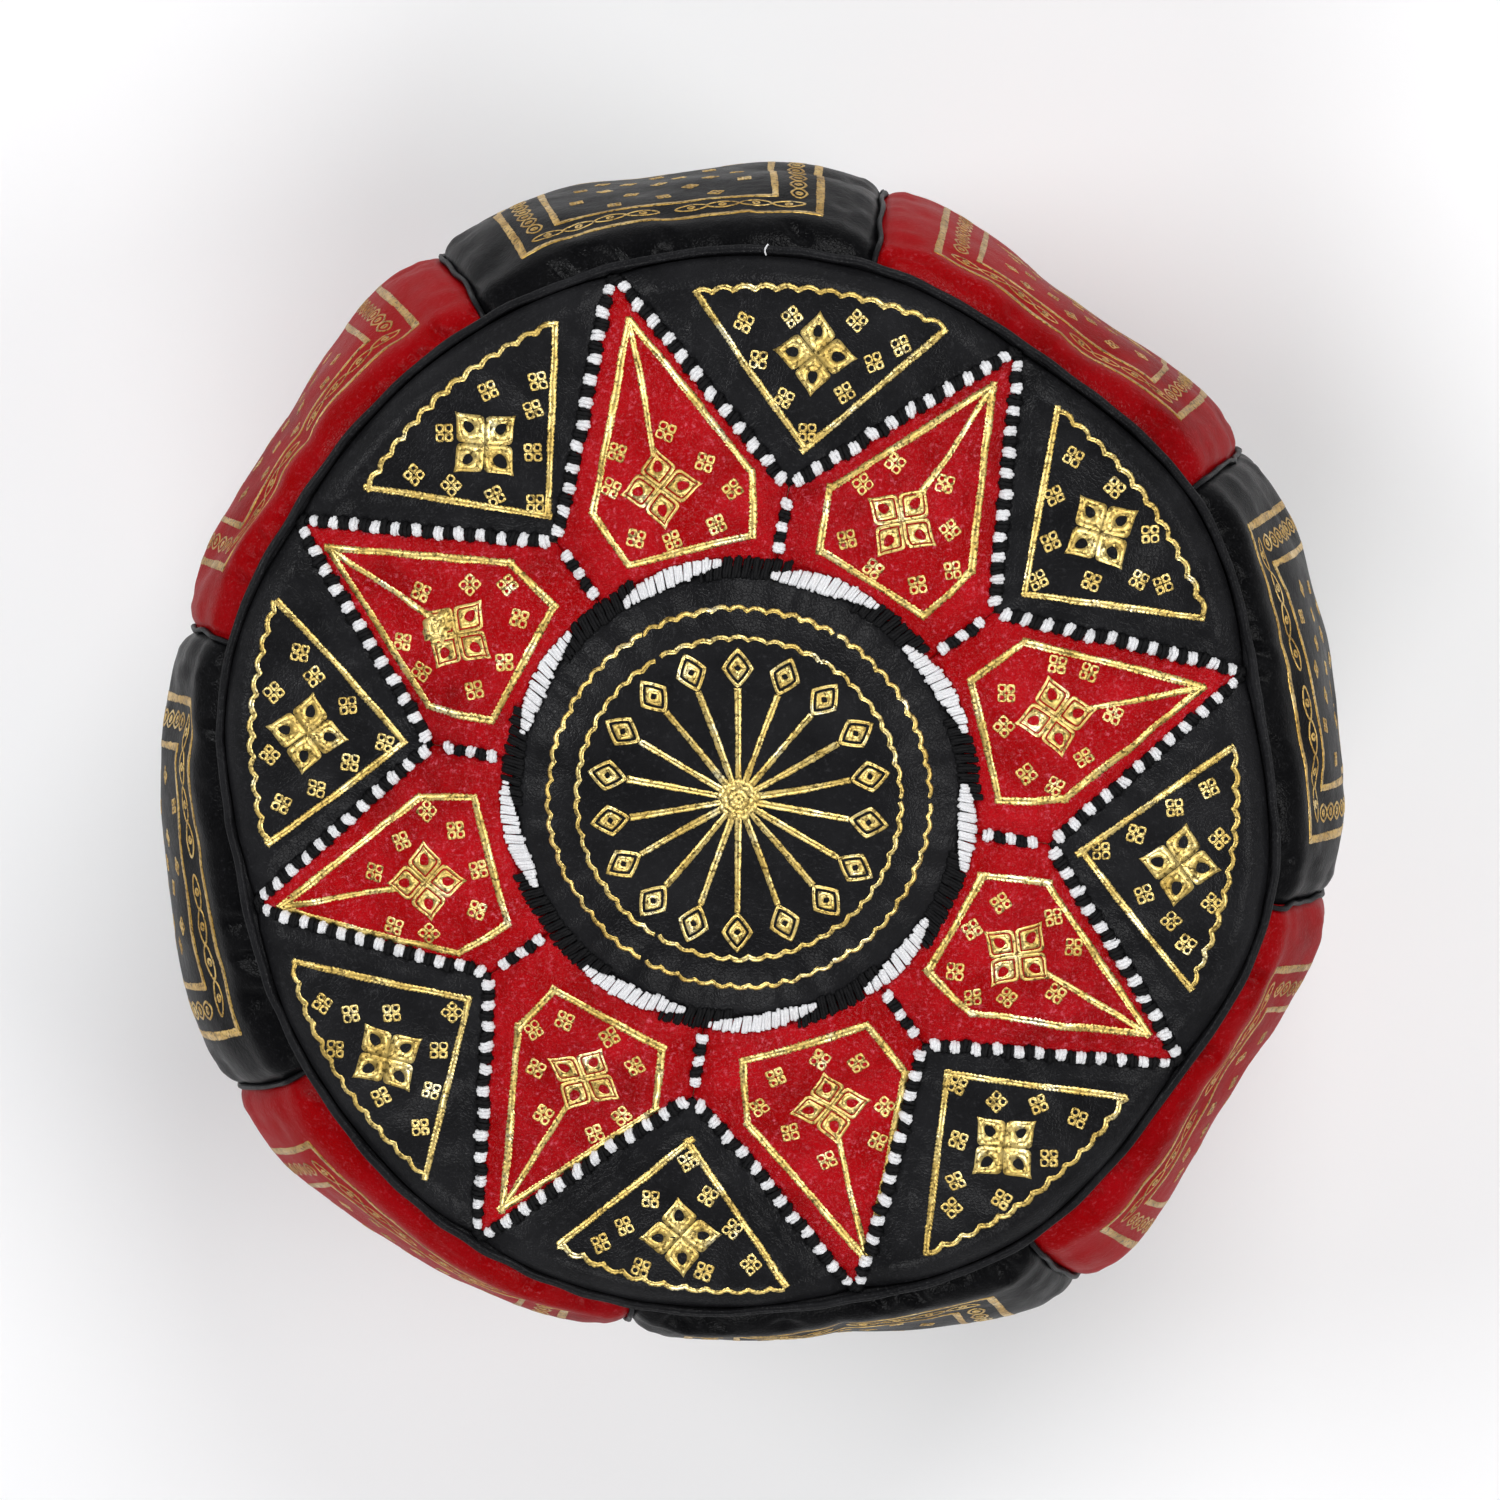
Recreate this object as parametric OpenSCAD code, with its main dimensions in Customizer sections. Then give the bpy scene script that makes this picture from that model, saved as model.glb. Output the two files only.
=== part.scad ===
// A round floor pouf with a patchwork leather cover: eight pointed star panels
// and eight darker triangles round a medallion on the top, eight bulging side
// panels with welted seams, a base of two half-moons with a recessed zip, and
// a stuffed cushion inside. The pouf stands on its base, +Z is up, and the
// origin is at the centre of the base.

/* [Overall] */
// Largest diameter, at the middle of the bulging side
max_d = 520; // [440:5:600]
// Height from the floor to the top of the crown
height = 320; // [280:5:380]
// Radius of the top and bottom seams
seam_r = 215; // [205:1:220]
// How far the top swells above its seam
crown = 22; // [12:1:34]
// Height of the bottom seam above the floor
base_h = 26; // [20:1:34]
// Thickness of the leather
leather = 2; // [1.2:0.1:2.6]

/* [Star] */
// Number of star points, and of side panels
points = 8; // [6:1:10]
// Turn of the star about the vertical axis
star_turn = 103.6; // [0:0.1:180]
// Turn of the upright seams about the vertical axis
side_turn = 122.3; // [0:0.1:180]
// Radius of the round medallion leather
medallion_r = 89; // [80:1:92]
// Outer radius of the wrapped thread ring round the medallion
ring_r = 97; // [95:0.5:99]
// Radius where three star seams meet
fork_r = 128; // [120:1:140]
// Width of the stitched slot between star panels
slot = 3.2; // [2.4:0.2:4]
// White stitches along each long star seam
long_stitches = 12; // [6:1:14]
// White stitches along each short star seam
short_stitches = 3; // [2:1:4]

/* [Welts] */
// Radius of the leather welts in the round seams
welt_r = 2.4; // [1.8:0.1:2.6]
// Width of the welts in the upright seams, in degrees
side_welt_deg = 0.66; // [0.5:0.02:0.9]
// How far an upright welt stands proud
side_welt_proud = 1.8; // [1:0.1:3]

/* [Zip] */
// Half the length of the row of teeth
zip_half = 150; // [130:1:152]
// Half the width of the channel that the zip lies in
channel_y = 14; // [12:0.5:15]
// Half the length of the channel
channel_x = 174; // [172:0.5:176]
// Distance from one tooth to the next
tooth_pitch = 3.2; // [2.8:0.1:5]
// How far the slider runs when the zip opens
slider_travel = 285; // [200:5:285]
// Length of the pull tab
tab_len = 22; // [14:1:23]

/* [Hidden] */
$fn = 128;

step = 360 / points;
max_r = max_d / 2;
top_z = height - crown;                 // height of the top seam
crown_R = (seam_r * seam_r + crown * crown) / (2 * crown);
half_h = (top_z - base_h) / 2;          // half the height of the side
bulge = max_r - seam_r;
side_R = (half_h * half_h + bulge * bulge) / (2 * bulge);
side_x = max_r - side_R;                // centre of the side's arc
side_z = base_h + half_h;
side_a = asin(half_h / side_R);         // half the angle that the side's arc spans
flat_r = seam_r - 37;                   // radius of the flat part of the base
rim_x = seam_r - 3;                     // where the base leather meets its welt
rim_z = base_h - 2;
base_R = (pow(rim_x - flat_r, 2) + rim_z * rim_z) / (2 * rim_z);
base_a = asin((rim_z - base_R) / base_R); // angle at the base's rim
bag_gap = 0.2;
bag_t = 1;
canvas_t = 0.8;
tape_z = 8;                             // underside of the zip tape
tape_t = 0.6;
tooth_in = 0.7;                         // the tooth rows leave a slot for the slider's web
tooth_out = 3;
tooth_lo = 7;
tooth_hi = 9.6;
slider_x = zip_half - 5;                // middle of the slider when the zip is closed
pin_z = 3;                              // height of the pull tab's hinge

BLACK = [0.11, 0.11, 0.12];
RED = [0.70, 0.05, 0.09];
WHITE = [0.93, 0.93, 0.94];

// Height of the crown at radius r, d below its outer face
function crown_z(r, d = 0) = height - crown_R + sqrt(pow(crown_R - d, 2) - r * r);
// Points along the crown from r0 to r1
function crown_pts(r0, r1, d, n = 10) = [for (i = [0:n]) let(r = r0 + (r1 - r0) * i / n) [r, crown_z(r, d)]];
// Points along the side's arc, from angle a0 to a1, d inside its outer face
function side_pts(a0, a1, d, n = 16) = [for (i = [0:n]) let(a = a0 + (a1 - a0) * i / n) [side_x + (side_R - d) * cos(a), side_z + (side_R - d) * sin(a)]];
// Points along the base's rounded edge, from angle a0 to a1, d inside its outer face
function base_pts(a0, a1, d, n = 5) = [for (i = [0:n]) let(a = a0 + (a1 - a0) * i / n) [flat_r + (base_R - d) * cos(a), base_R + (base_R - d) * sin(a)]];
function polar(r, a) = [r * cos(a), r * sin(a)];
function petal_a(k) = star_turn - step * (k - 1);
function seam_a(k) = side_turn - step * (k - 1);

// ---- the crown ----
module crown_shell(r0, r1, d0, d1) {
  inner = crown_pts(r1, r0, d1);
  rotate_extrude() polygon(concat(crown_pts(r0, r1, d0), inner));
}

// A slot along a straight seam from p to q
module slot_box(p, q, w) {
  v = q - p;
  translate([p[0], p[1], 0]) rotate([0, 0, atan2(v[1], v[0])])
    translate([-2, -w / 2, top_z - 12]) cube([norm(v) + 8, w, crown + 30]);
}

module star_slots(k) {
  for (s = [-1, 1]) {
    f = polar(fork_r, petal_a(k) + s * step / 2);
    slot_box(f, polar(seam_r - 1, petal_a(k)), slot);
    slot_box(f, polar(seam_r - 1, petal_a(k) + s * step), slot);
    slot_box(polar(ring_r - 4, petal_a(k) + s * step / 2), f, slot);
  }
}

module star_petal(k) {
  a = petal_a(k);
  color(RED) difference() {
    intersection() {
      crown_shell(ring_r + 0.3, seam_r - 3, 0, leather);
      translate([0, 0, top_z - 12]) linear_extrude(crown + 30) polygon([
        [0, 0],
        polar(fork_r, a - step / 2),
        polar(seam_r - 1, a),
        polar(fork_r, a + step / 2)
      ]);
    }
    star_slots(k);
  }
}

module top_triangle(k) {
  a = petal_a(k) - step / 2;
  far = seam_r / cos(step / 2) + 6;
  color(BLACK) difference() {
    intersection() {
      crown_shell(fork_r - 4, seam_r - 3, 0, leather);
      translate([0, 0, top_z - 12]) linear_extrude(crown + 30) polygon([
        polar(fork_r, a),
        polar(seam_r - 1, a - step / 2),
        polar(far, a - step / 2),
        polar(far + 12, a),
        polar(far, a + step / 2),
        polar(seam_r - 1, a + step / 2)
      ]);
    }
    for (s = [-1, 1]) slot_box(polar(fork_r, a), polar(seam_r - 1, a + s * step / 2), slot);
  }
}

module medallion() {
  color(BLACK) crown_shell(0, medallion_r, 0, leather);
}

// One arc of the wrapped thread round the medallion
module ring_arc(mid, span) {
  rotate([0, 0, mid - span / 2]) rotate_extrude(angle = span)
    polygon([
      [medallion_r + 0.3, crown_z(medallion_r, leather)],
      [ring_r, crown_z(ring_r, leather)],
      [ring_r, crown_z(ring_r) + 0.4],
      [(medallion_r + ring_r) / 2, crown_z(medallion_r) + 1.3],
      [medallion_r + 0.3, crown_z(medallion_r) + 0.4]
    ]);
}

module medallion_thread_white() {
  color(WHITE) for (i = [0:8]) ring_arc(108 - 40 * i, 26);
}

module medallion_thread_black() {
  color(BLACK) for (i = [0:8]) ring_arc(88 - 40 * i, 13.8);
}

// One block of thread lying in a slot, on the crown
module stitch(p, dir, len) {
  r = norm(p);
  a = atan2(p[1], p[0]);
  translate([p[0], p[1], crown_z(r) - 0.35]) rotate([0, 0, a]) rotate([0, asin(r / crown_R), 0])
    rotate([0, 0, dir - a]) cube([len, slot - 0.9, 3], center = true);
}

// Stitches of one colour along a seam: phase 0 or 0.5
module seam_stitches(p, q, n, phase) {
  v = q - p;
  for (i = [0:n - 1]) stitch(p + v * ((i + 0.25 + phase) / n), atan2(v[1], v[0]), 0.45 * norm(v) / n);
}

module star_thread(phase) {
  for (k = [1:points]) {
    a = petal_a(k);
    f = polar(fork_r, a + step / 2);
    seam_stitches(polar(ring_r + 2, a + step / 2), polar(fork_r - 2, a + step / 2), short_stitches, phase);
    for (t = [a, a + step]) {
      tip = polar(seam_r - 1, t);
      u = (tip - f) / norm(tip - f);
      seam_stitches(f + 5 * u, tip - 8 * u, long_stitches, phase);
    }
  }
}

module star_thread_white() {
  color(WHITE) star_thread(0);
}

module star_thread_black() {
  color(BLACK) star_thread(0.5);
}

module top_backing() {
  color([0.72, 0.66, 0.54]) crown_shell(0, seam_r - 5, leather + 0.1, leather + 0.1 + canvas_t);
}

// ---- the side ----
// Wall of the side: outer face d0 inside the outline, inner face d1 inside it
module side_wall(d0, d1, ang) {
  a = side_a - 0.7;
  rotate_extrude(angle = ang) polygon(concat(side_pts(-a, a, d0), side_pts(a, -a, d1)));
}

module side_panel(k) {
  color(k % 2 == 1 ? BLACK : RED)
    rotate([0, 0, seam_a(k) - step + side_welt_deg / 2]) side_wall(0, leather, step - side_welt_deg);
}

module side_welts() {
  g = 0.04;
  color(BLACK) for (k = [1:points])
    rotate([0, 0, seam_a(k) - side_welt_deg / 2 + g / 2]) side_wall(-side_welt_proud, leather, side_welt_deg - g);
}

module round_welt(z) {
  color(BLACK) rotate_extrude() translate([seam_r + 0.8, z]) circle(r = welt_r, $fn = 32);
}

module top_welt() {
  round_welt(top_z + 0.5);
}

module bottom_welt() {
  round_welt(base_h - 0.5);
}

// ---- the base ----
module base_shell(d0, d1) {
  rotate_extrude() polygon(concat(
    [[0, d0]], base_pts(-90, base_a, d0), base_pts(base_a, -90, d1), [[0, d1]]));
}

// s is -1 for the half on the -Y side, 1 for the half on the +Y side
module base_half(s) {
  color(BLACK) union() {
    intersection() {
      base_shell(0, leather);
      translate([-300, s > 0 ? channel_y : -300 - channel_y, -1]) cube([600, 300, 60]);
    }
    translate([-channel_x, s > 0 ? channel_y : -channel_y - leather, leather / 2])
      cube([2 * channel_x, leather, tape_z - leather / 2]);
  }
}

module base_half_front() {
  base_half(-1);
}

module base_half_back() {
  base_half(1);
}

module zip_end_patches() {
  color(BLACK) for (s = [-1, 1]) union() {
    intersection() {
      base_shell(0, leather);
      translate([s > 0 ? channel_x : -300 - channel_x, -channel_y + 0.1, -1]) cube([300, 2 * channel_y - 0.2, 60]);
    }
    translate([s > 0 ? channel_x : -channel_x - leather, -channel_y + 0.1, leather / 2])
      cube([leather, 2 * channel_y - 0.2, tape_z - leather / 2]);
  }
}

// ---- the zip ----
module zip_tape(s) {
  color([0.09, 0.09, 0.10]) translate([-channel_x - 1.5, s > 0 ? tooth_out : -channel_y - leather, tape_z])
    cube([2 * channel_x + 3, channel_y + leather - tooth_out, tape_t]);
}

module zip_tape_front() {
  zip_tape(-1);
}

module zip_tape_back() {
  zip_tape(1);
}

module zip_teeth(s) {
  n = floor((2 * zip_half - 3) / tooth_pitch);
  color([0.72, 0.58, 0.30]) for (i = [0:n - 1])
    translate([-zip_half + 1 + (i + (s > 0 ? 0.5 : 0)) * tooth_pitch, s > 0 ? tooth_in : -tooth_out, tooth_lo])
      cube([tooth_pitch * 0.55, tooth_out - tooth_in, tooth_hi - tooth_lo]);
}

module zip_teeth_front() {
  zip_teeth(-1);
}

module zip_teeth_back() {
  zip_teeth(1);
}

module zip_stops() {
  color([0.72, 0.58, 0.30]) {
    for (s = [0, 1]) mirror([0, s, 0]) translate([zip_half + 0.6, tooth_in, tooth_lo - 0.4])
      cube([2.4, tooth_out - tooth_in, tooth_hi - tooth_lo + 0.8]);
    translate([-zip_half - 3.6, -tooth_out, tooth_lo - 0.4]) cube([3, 2 * tooth_out, tooth_hi - tooth_lo + 0.8]);
  }
}

// A block round the origin in X and Y, from z0 to z1
module slab(lx, ly, z0, z1) {
  translate([-lx / 2, -ly / 2, z0]) cube([lx, ly, z1 - z0]);
}

module zip_slider() {
  color([0.72, 0.58, 0.30]) translate([slider_x, 0, 0]) union() {
    slab(10, 9.2, 5.2, 6.4);                       // outer plate
    slab(10, 9.2, 10.2, 11.4);                     // inner plate
    slab(6, 0.8, 6, 10.6);                         // web between the rows
    for (s = [-1, 1]) translate([0, s * 4.1, 0]) {
      slab(10, 1, 6, 7.6);                         // outer flange
      slab(10, 1, 9, 10.6);                        // inner flange
    }
    for (s = [-1, 1]) translate([0, s * 3.3, 0]) slab(2.6, 1.2, pin_z - 1.3, 5.6);  // lugs
    translate([0, 0, pin_z]) rotate([90, 0, 0]) cylinder(r = 1, h = 6.4, center = true);
  }
}

module zip_pull_tab() {
  color([0.72, 0.58, 0.30]) translate([slider_x, 0, pin_z]) difference() {
    union() {
      rotate([90, 0, 0]) cylinder(r = 1.9, h = 4.6, center = true);
      translate([-8, -2.3, -0.8]) cube([8, 4.6, 1.6]);
      translate([-tab_len + 4, -4, -0.8]) cube([tab_len - 10, 8, 1.6]);
      translate([-tab_len + 4, 0, -0.8]) cylinder(r = 4, h = 1.6);
    }
    rotate([90, 0, 0]) cylinder(r = 1.06, h = 10, center = true);
    translate([-tab_len + 4, 0, -3]) cylinder(r = 1.6, h = 6);
  }
}

// ---- inside ----
module cushion_body(d) {
  a = side_a - 1.6;
  rotate_extrude() polygon(concat(
    [[0, d]],
    base_pts(-90, base_a, d),
    side_pts(-a, a, d),
    crown_pts(seam_r - 5.5 - d, 0, d + 1)));
}

module channel_space(d) {
  translate([-channel_x - 2.4 - d, -channel_y - leather - 0.4 - d, -1])
    cube([2 * (channel_x + 2.4 + d), 2 * (channel_y + leather + 0.4 + d), 13.2 + d]);
}

module inner_bag() {
  d = leather + bag_gap;
  color([0.85, 0.82, 0.75]) difference() {
    difference() { cushion_body(d); channel_space(0); }
    difference() { cushion_body(d + bag_t); channel_space(bag_t); }
  }
}

module filling() {
  d = leather + bag_gap + bag_t + 0.1;
  color([0.80, 0.78, 0.74]) difference() { cushion_body(d); channel_space(bag_t + 0.1); }
}

filling();
inner_bag();
top_backing();
medallion();
medallion_thread_black();
medallion_thread_white();
star_petal(1);  // star_petal_1
star_petal(2);  // star_petal_2
star_petal(3);  // star_petal_3
star_petal(4);  // star_petal_4
star_petal(5);  // star_petal_5
star_petal(6);  // star_petal_6
star_petal(7);  // star_petal_7
star_petal(8);  // star_petal_8
top_triangle(1);  // top_triangle_1
top_triangle(2);  // top_triangle_2
top_triangle(3);  // top_triangle_3
top_triangle(4);  // top_triangle_4
top_triangle(5);  // top_triangle_5
top_triangle(6);  // top_triangle_6
top_triangle(7);  // top_triangle_7
top_triangle(8);  // top_triangle_8
star_thread_white();
star_thread_black();
side_panel(1);  // side_panel_1
side_panel(2);  // side_panel_2
side_panel(3);  // side_panel_3
side_panel(4);  // side_panel_4
side_panel(5);  // side_panel_5
side_panel(6);  // side_panel_6
side_panel(7);  // side_panel_7
side_panel(8);  // side_panel_8
side_welts();
top_welt();
bottom_welt();
base_half_front();
base_half_back();
zip_end_patches();
zip_tape_front();
zip_tape_back();
zip_teeth_front();
zip_teeth_back();
zip_stops();
zip_slider();
zip_pull_tab();
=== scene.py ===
import bpy, math
import numpy as np
from mathutils import Vector, Matrix


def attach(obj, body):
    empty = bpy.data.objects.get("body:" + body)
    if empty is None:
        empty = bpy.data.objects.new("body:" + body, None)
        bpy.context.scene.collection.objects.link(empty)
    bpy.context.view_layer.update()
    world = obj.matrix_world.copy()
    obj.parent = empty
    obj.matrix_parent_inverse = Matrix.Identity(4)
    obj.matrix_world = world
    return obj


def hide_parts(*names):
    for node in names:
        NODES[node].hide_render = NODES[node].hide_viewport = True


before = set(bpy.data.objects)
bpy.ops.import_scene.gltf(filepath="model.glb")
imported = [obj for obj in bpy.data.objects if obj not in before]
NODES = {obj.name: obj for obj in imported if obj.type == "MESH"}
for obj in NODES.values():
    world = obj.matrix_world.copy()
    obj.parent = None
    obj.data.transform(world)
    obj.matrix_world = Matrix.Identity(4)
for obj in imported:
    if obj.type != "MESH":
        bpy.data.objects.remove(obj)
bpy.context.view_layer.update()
PI = math.pi

# ------------------------------------------------------------------ sizes, in millimetres
H, RS, CROWN, BASE = 320.0, 215.0, 22.0, 26.0
TOP = H - CROWN
CR = (RS * RS + CROWN * CROWN) / (2 * CROWN)
HALF, BULGE = (TOP - BASE) / 2, 45.0
SR = (HALF * HALF + BULGE * BULGE) / (2 * BULGE)
SX, SZ = RS + BULGE - SR, BASE + HALF
SA = math.asin(HALF / SR)
LSIDE = 2 * SA * SR                      # length of a side panel along the surface
STAR, SIDE = 103.6, 122.3                # turn of the star and of the upright seams, degrees
FORK, APEX, RING_IN, RING_OUT = 128.0, 214.0, 88.8, 98.2
SIM_ALWAYS = True                        # the stuffing pass runs in every render, quick ones too


def waves(seed, n, lo, hi):
    """Smooth noise in 3-D, about -1 to 1, from n plane waves between two wavelengths."""
    g = np.random.default_rng(seed)
    d = g.normal(size=(n, 3)); d /= np.linalg.norm(d, axis=1)[:, None]
    wl = np.exp(g.uniform(math.log(lo), math.log(hi), n))
    k = d * (2 * PI / wl)[:, None]; ph = g.uniform(0, 2 * PI, n)
    def f(p):
        p = np.asarray(p, float); out = np.zeros(p.shape[:-1])
        for i in range(n):
            out += np.sin(p @ k[i] + ph[i])
        return out / math.sqrt(n) * 0.9
    return f


DENTS, SMALL, FINE = waves(3, 14, 70, 150), waves(5, 16, 26, 60), waves(8, 16, 7, 18)
CREASE = waves(9, 22, 9, 26)


def smooth(x, a, b):
    t = np.clip((x - a) / (b - a), 0, 1)
    return t * t * (3 - 2 * t)


# ------------------------------------------------------------------ the reference surface
BQ, BRAD = 37.0, 178.0                   # the base's rounded edge and its flat radius
BA = math.asin((25.0 - BQ) / BQ)


def profile(m):
    """m: 0 at the top's centre, 1 at the top seam, 2 at the bottom seam, 3 at the base's centre.
    Gives radius, height and the outward normal's two parts."""
    m = np.asarray(m, float)
    r = np.clip(m, 0, 1) * RS
    R, Z = r.copy(), H - CR + np.sqrt(CR * CR - r * r)
    nR, nZ = r / CR, np.sqrt(CR * CR - r * r) / CR
    t = SA * (1 - 2 * np.clip(m - 1, 0, 1))
    s = (m > 1) & (m <= 2)
    # a fuller section than a plain arc
    full = 3.0 * (1 - np.abs(2 * np.clip(m - 1, 0, 1) - 1) ** 4) * np.abs(np.sin(t)) ** 1.0
    R = np.where(s, SX + SR * np.cos(t) + full, R); Z = np.where(s, SZ + SR * np.sin(t), Z)
    nR = np.where(s, np.cos(t), nR); nZ = np.where(s, np.sin(t), nZ)
    q = np.clip(m - 2, 0, 1)
    b = BA + (-PI / 2 - BA) * np.clip(q / 0.22, 0, 1)
    fl = m > 2.22
    c = m > 2
    R = np.where(c, BRAD + BQ * np.cos(b), R); Z = np.where(c, BQ + BQ * np.sin(b), Z)
    nR = np.where(c, np.cos(b), nR); nZ = np.where(c, np.sin(b), nZ)
    R = np.where(fl, BRAD * (1 - (q - 0.22) / 0.78), R); Z = np.where(fl, 0.0, Z)
    nR = np.where(fl, 0.0, nR); nZ = np.where(fl, -1.0, nZ)
    return R, Z, nR, nZ


YJ = np.array([FORK * math.cos(PI / 8), FORK * math.sin(PI / 8)])
AP = np.array([APEX, 0.0])
EU = (AP - YJ) / np.linalg.norm(AP - YJ)
ELEN = float(np.linalg.norm(AP - YJ))


def half_angle(rho):
    """Half the angle that a petal spans at radius rho, in radians."""
    rho = np.asarray(rho, float)
    b = YJ @ EU
    t = -b + np.sqrt(np.maximum(b * b - (FORK * FORK - rho * rho), 0))
    p = YJ + np.clip(t, 0, ELEN)[..., None] * EU
    return np.where(rho <= FORK, PI / 8, np.arctan2(p[..., 1], p[..., 0]))


def star_distance(rho, th):
    """Distance from a point on the top to the nearest star seam, in mm."""
    phi = np.abs((th - math.radians(STAR) + PI / 8) % (PI / 4) - PI / 8)
    x, y = rho * np.cos(phi), rho * np.sin(phi)
    d = np.stack([x - YJ[0], y - YJ[1]], -1)
    t = np.clip(d @ EU, 0, ELEN)
    d1 = np.hypot(d[..., 0] - t * EU[0], d[..., 1] - t * EU[1])
    a = np.array([math.cos(PI / 8), math.sin(PI / 8)])
    s = np.clip(x * a[0] + y * a[1], 95, FORK)
    d2 = np.hypot(x - s * a[0], y - s * a[1])
    return np.minimum(d1, d2)


def seam_offset(th):
    """Signed angle from the nearest upright seam, in radians."""
    return (th - math.radians(SIDE) + PI / 8) % (PI / 4) - PI / 8


def relief(th, m, P):
    """How far the surface stands proud of the reference, in mm: seam valleys, padding, ridges and dents."""
    h = np.zeros_like(m)
    # top
    rho = np.clip(m, 0, 1) * RS
    ds = star_distance(rho, th)
    out = smooth(rho, 96, 99)
    top = (-1.5 * np.exp(-(ds / 2.3) ** 2) + 2.6 * (1 - np.exp(-(ds / 15.0) ** 2)) + 0.5 * np.exp(-((ds - 9.0) / 2.4) ** 2)) * out
    dr = np.abs(rho - 93.5)
    top += -1.6 * np.exp(-(dr / 4.2) ** 2) + (1 - out) * 2.8 * (1 - np.exp(-((93.5 - np.minimum(rho, 93.5)) / 16.0) ** 2))
    top += 0.45 * np.exp(-((rho - 106.0) / 2.6) ** 2) * (ds > 5)
    top += -4.2 * np.exp(-(RS - rho) / 5.0) + 1.0 * np.exp(-((RS - rho - 13.0) / 4.5) ** 2)
    top += 1.1 * DENTS(P) + 0.42 * SMALL(P) * smooth(ds, 0, 12)
    # side
    L = np.clip(m - 1, 0, 1) * LSIDE
    e = np.minimum(L, LSIDE - L)
    R = np.hypot(P[..., 0], P[..., 1])
    dv = np.abs(seam_offset(th)) * R
    side = -4.2 * np.exp(-e / 4.5) + 2.2 * np.exp(-((e - 17.0) / 9.0) ** 2)
    side += -2.6 * np.exp(-(dv / 3.2) ** 2) + 1.6 * (1 - np.exp(-(dv / 18.0) ** 2)) + 0.5 * np.exp(-((dv - 9.5) / 2.4) ** 2)
    side += 1.15 * DENTS(P) + 0.5 * SMALL(P)
    fold = np.clip(CREASE(P * np.array([1, 1, 0.22])) - 0.42, 0, 1.2)      # short folds that run down from the seams
    side -= 4.2 * fold ** 1.1 * np.exp(-((e - 6.5) / 8.5) ** 2)
    # base
    q = np.clip(m - 2, 0, 1)
    base = -3.0 * np.exp(-q * 150 / 5.0) + (0.5 * DENTS(P) - 0.7) * smooth(q, 0.0, 0.1) * (1 - smooth(q, 0.55, 0.75)) * 0.8
    base = np.where(q > 0.16, np.minimum(base, -0.05), base)
    return np.where(m <= 1, top, np.where(m <= 2, side, base))


# ------------------------------------------------------------------ how the stuffed cover sits: a coarse field of offsets
NM, NT = 97, 256                         # rows from the top's centre to the base's centre, columns round
TABLE_DEG = [SIDE - 22.5 * i for i in range(16)]
EQUATOR = [-1.7, -9.2, -9.0, -24.7, -10.2, -11.6, -5.2, -11.5, 12.5, -10.2, -5.8, 2.0, 12.2, -3.2, -7.6, -14.2]
TOPRING = [4.1, 5.9, 6.5, 0.5, 6.1, 0.0, 7.2, 0.9, 7.4, 4.0, 7.3, 7.4, 1.7, -3.0, 4.0, 1.6]
SLIDE = [-14.3, -9.4, -4.5, 1.4, 7.3, 4.6, 1.9, 1.2, 0.4, 1.9, 3.4, 4.0, 4.5, -3.8, -12.0, -13.0]
NUDGE = [0.7, 1.5, 0.0, -1.6, -0.8, 0.0, -0.7, -1.4, -2.0, -2.7, 1.0, 4.5, 2.2, -0.1, 0.2, 0.5]


def around(values, th):
    """A periodic smooth curve through values at TABLE_DEG."""
    v = np.array(values, float)
    x = ((math.radians(SIDE) - th) / (PI / 8)) % 16
    i = np.floor(x).astype(int); t = x - i
    a, b, c, d = v[(i - 1) % 16], v[i % 16], v[(i + 1) % 16], v[(i + 2) % 16]
    return b + 0.5 * t * (c - a + t * (2 * a - 5 * b + 4 * c - d + t * (3 * (b - c) + d - a)))


def shape_field(th, m):
    """Offsets of the hand-stuffed outline: radial and tangential, in mm."""
    s = np.clip(m - 1, 0, 1)
    ring, eq = around(TOPRING, th), around(EQUATOR, th)
    low = 2.6 * (1 + np.cos(8 * (th - math.radians(SIDE))))
    w = np.sin(PI * s)
    side = ring * (1 - s) * (1 - w) + low * s * (1 - w) + eq * w
    top = ring * smooth(m, 0.55, 1.0) ** 1.5
    base = low * (1 - smooth(m, 2.0, 2.22))
    rad = np.where(m <= 1, top, np.where(m <= 2, side, base))
    tan = np.where(m <= 1, around(NUDGE, th) * smooth(m, 0.55, 1.0) ** 1.5, np.where(m <= 2, around(SLIDE, th) * (1 - smooth(s, 0.0, 0.5)), 0))
    return rad, tan


ROWS = np.linspace(0, 3, NM)
COLS = np.arange(NT) * 2 * PI / NT
GT, GM = np.meshgrid(COLS, ROWS)
SIM = np.zeros((NM, NT, 3))              # what the cloth simulation adds, filled in below


def sample(field, th, m):
    """Smooth sampling of a field on the coarse grid, periodic round the axis."""
    x = (th / (2 * PI) * NT) % NT; y = np.clip(m / 3 * (NM - 1), 0, NM - 1 - 1e-6)
    i, j = np.floor(x).astype(int), np.floor(y).astype(int)
    u, v = x - i, y - j
    def w(t):
        return [((-t + 2) * t - 1) * t / 2, ((3 * t - 5) * t * t + 2) / 2, ((-3 * t + 4) * t + 1) * t / 2, (t - 1) * t * t / 2]
    wu, wv = w(u), w(v)
    out = 0
    for b in range(4):
        jj = np.clip(j + b - 1, 0, NM - 1); row = 0
        for a in range(4):
            row = row + wu[a][..., None] * field[jj, (i + a - 1) % NT]
        out = out + wv[b][..., None] * row
    return out


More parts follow.
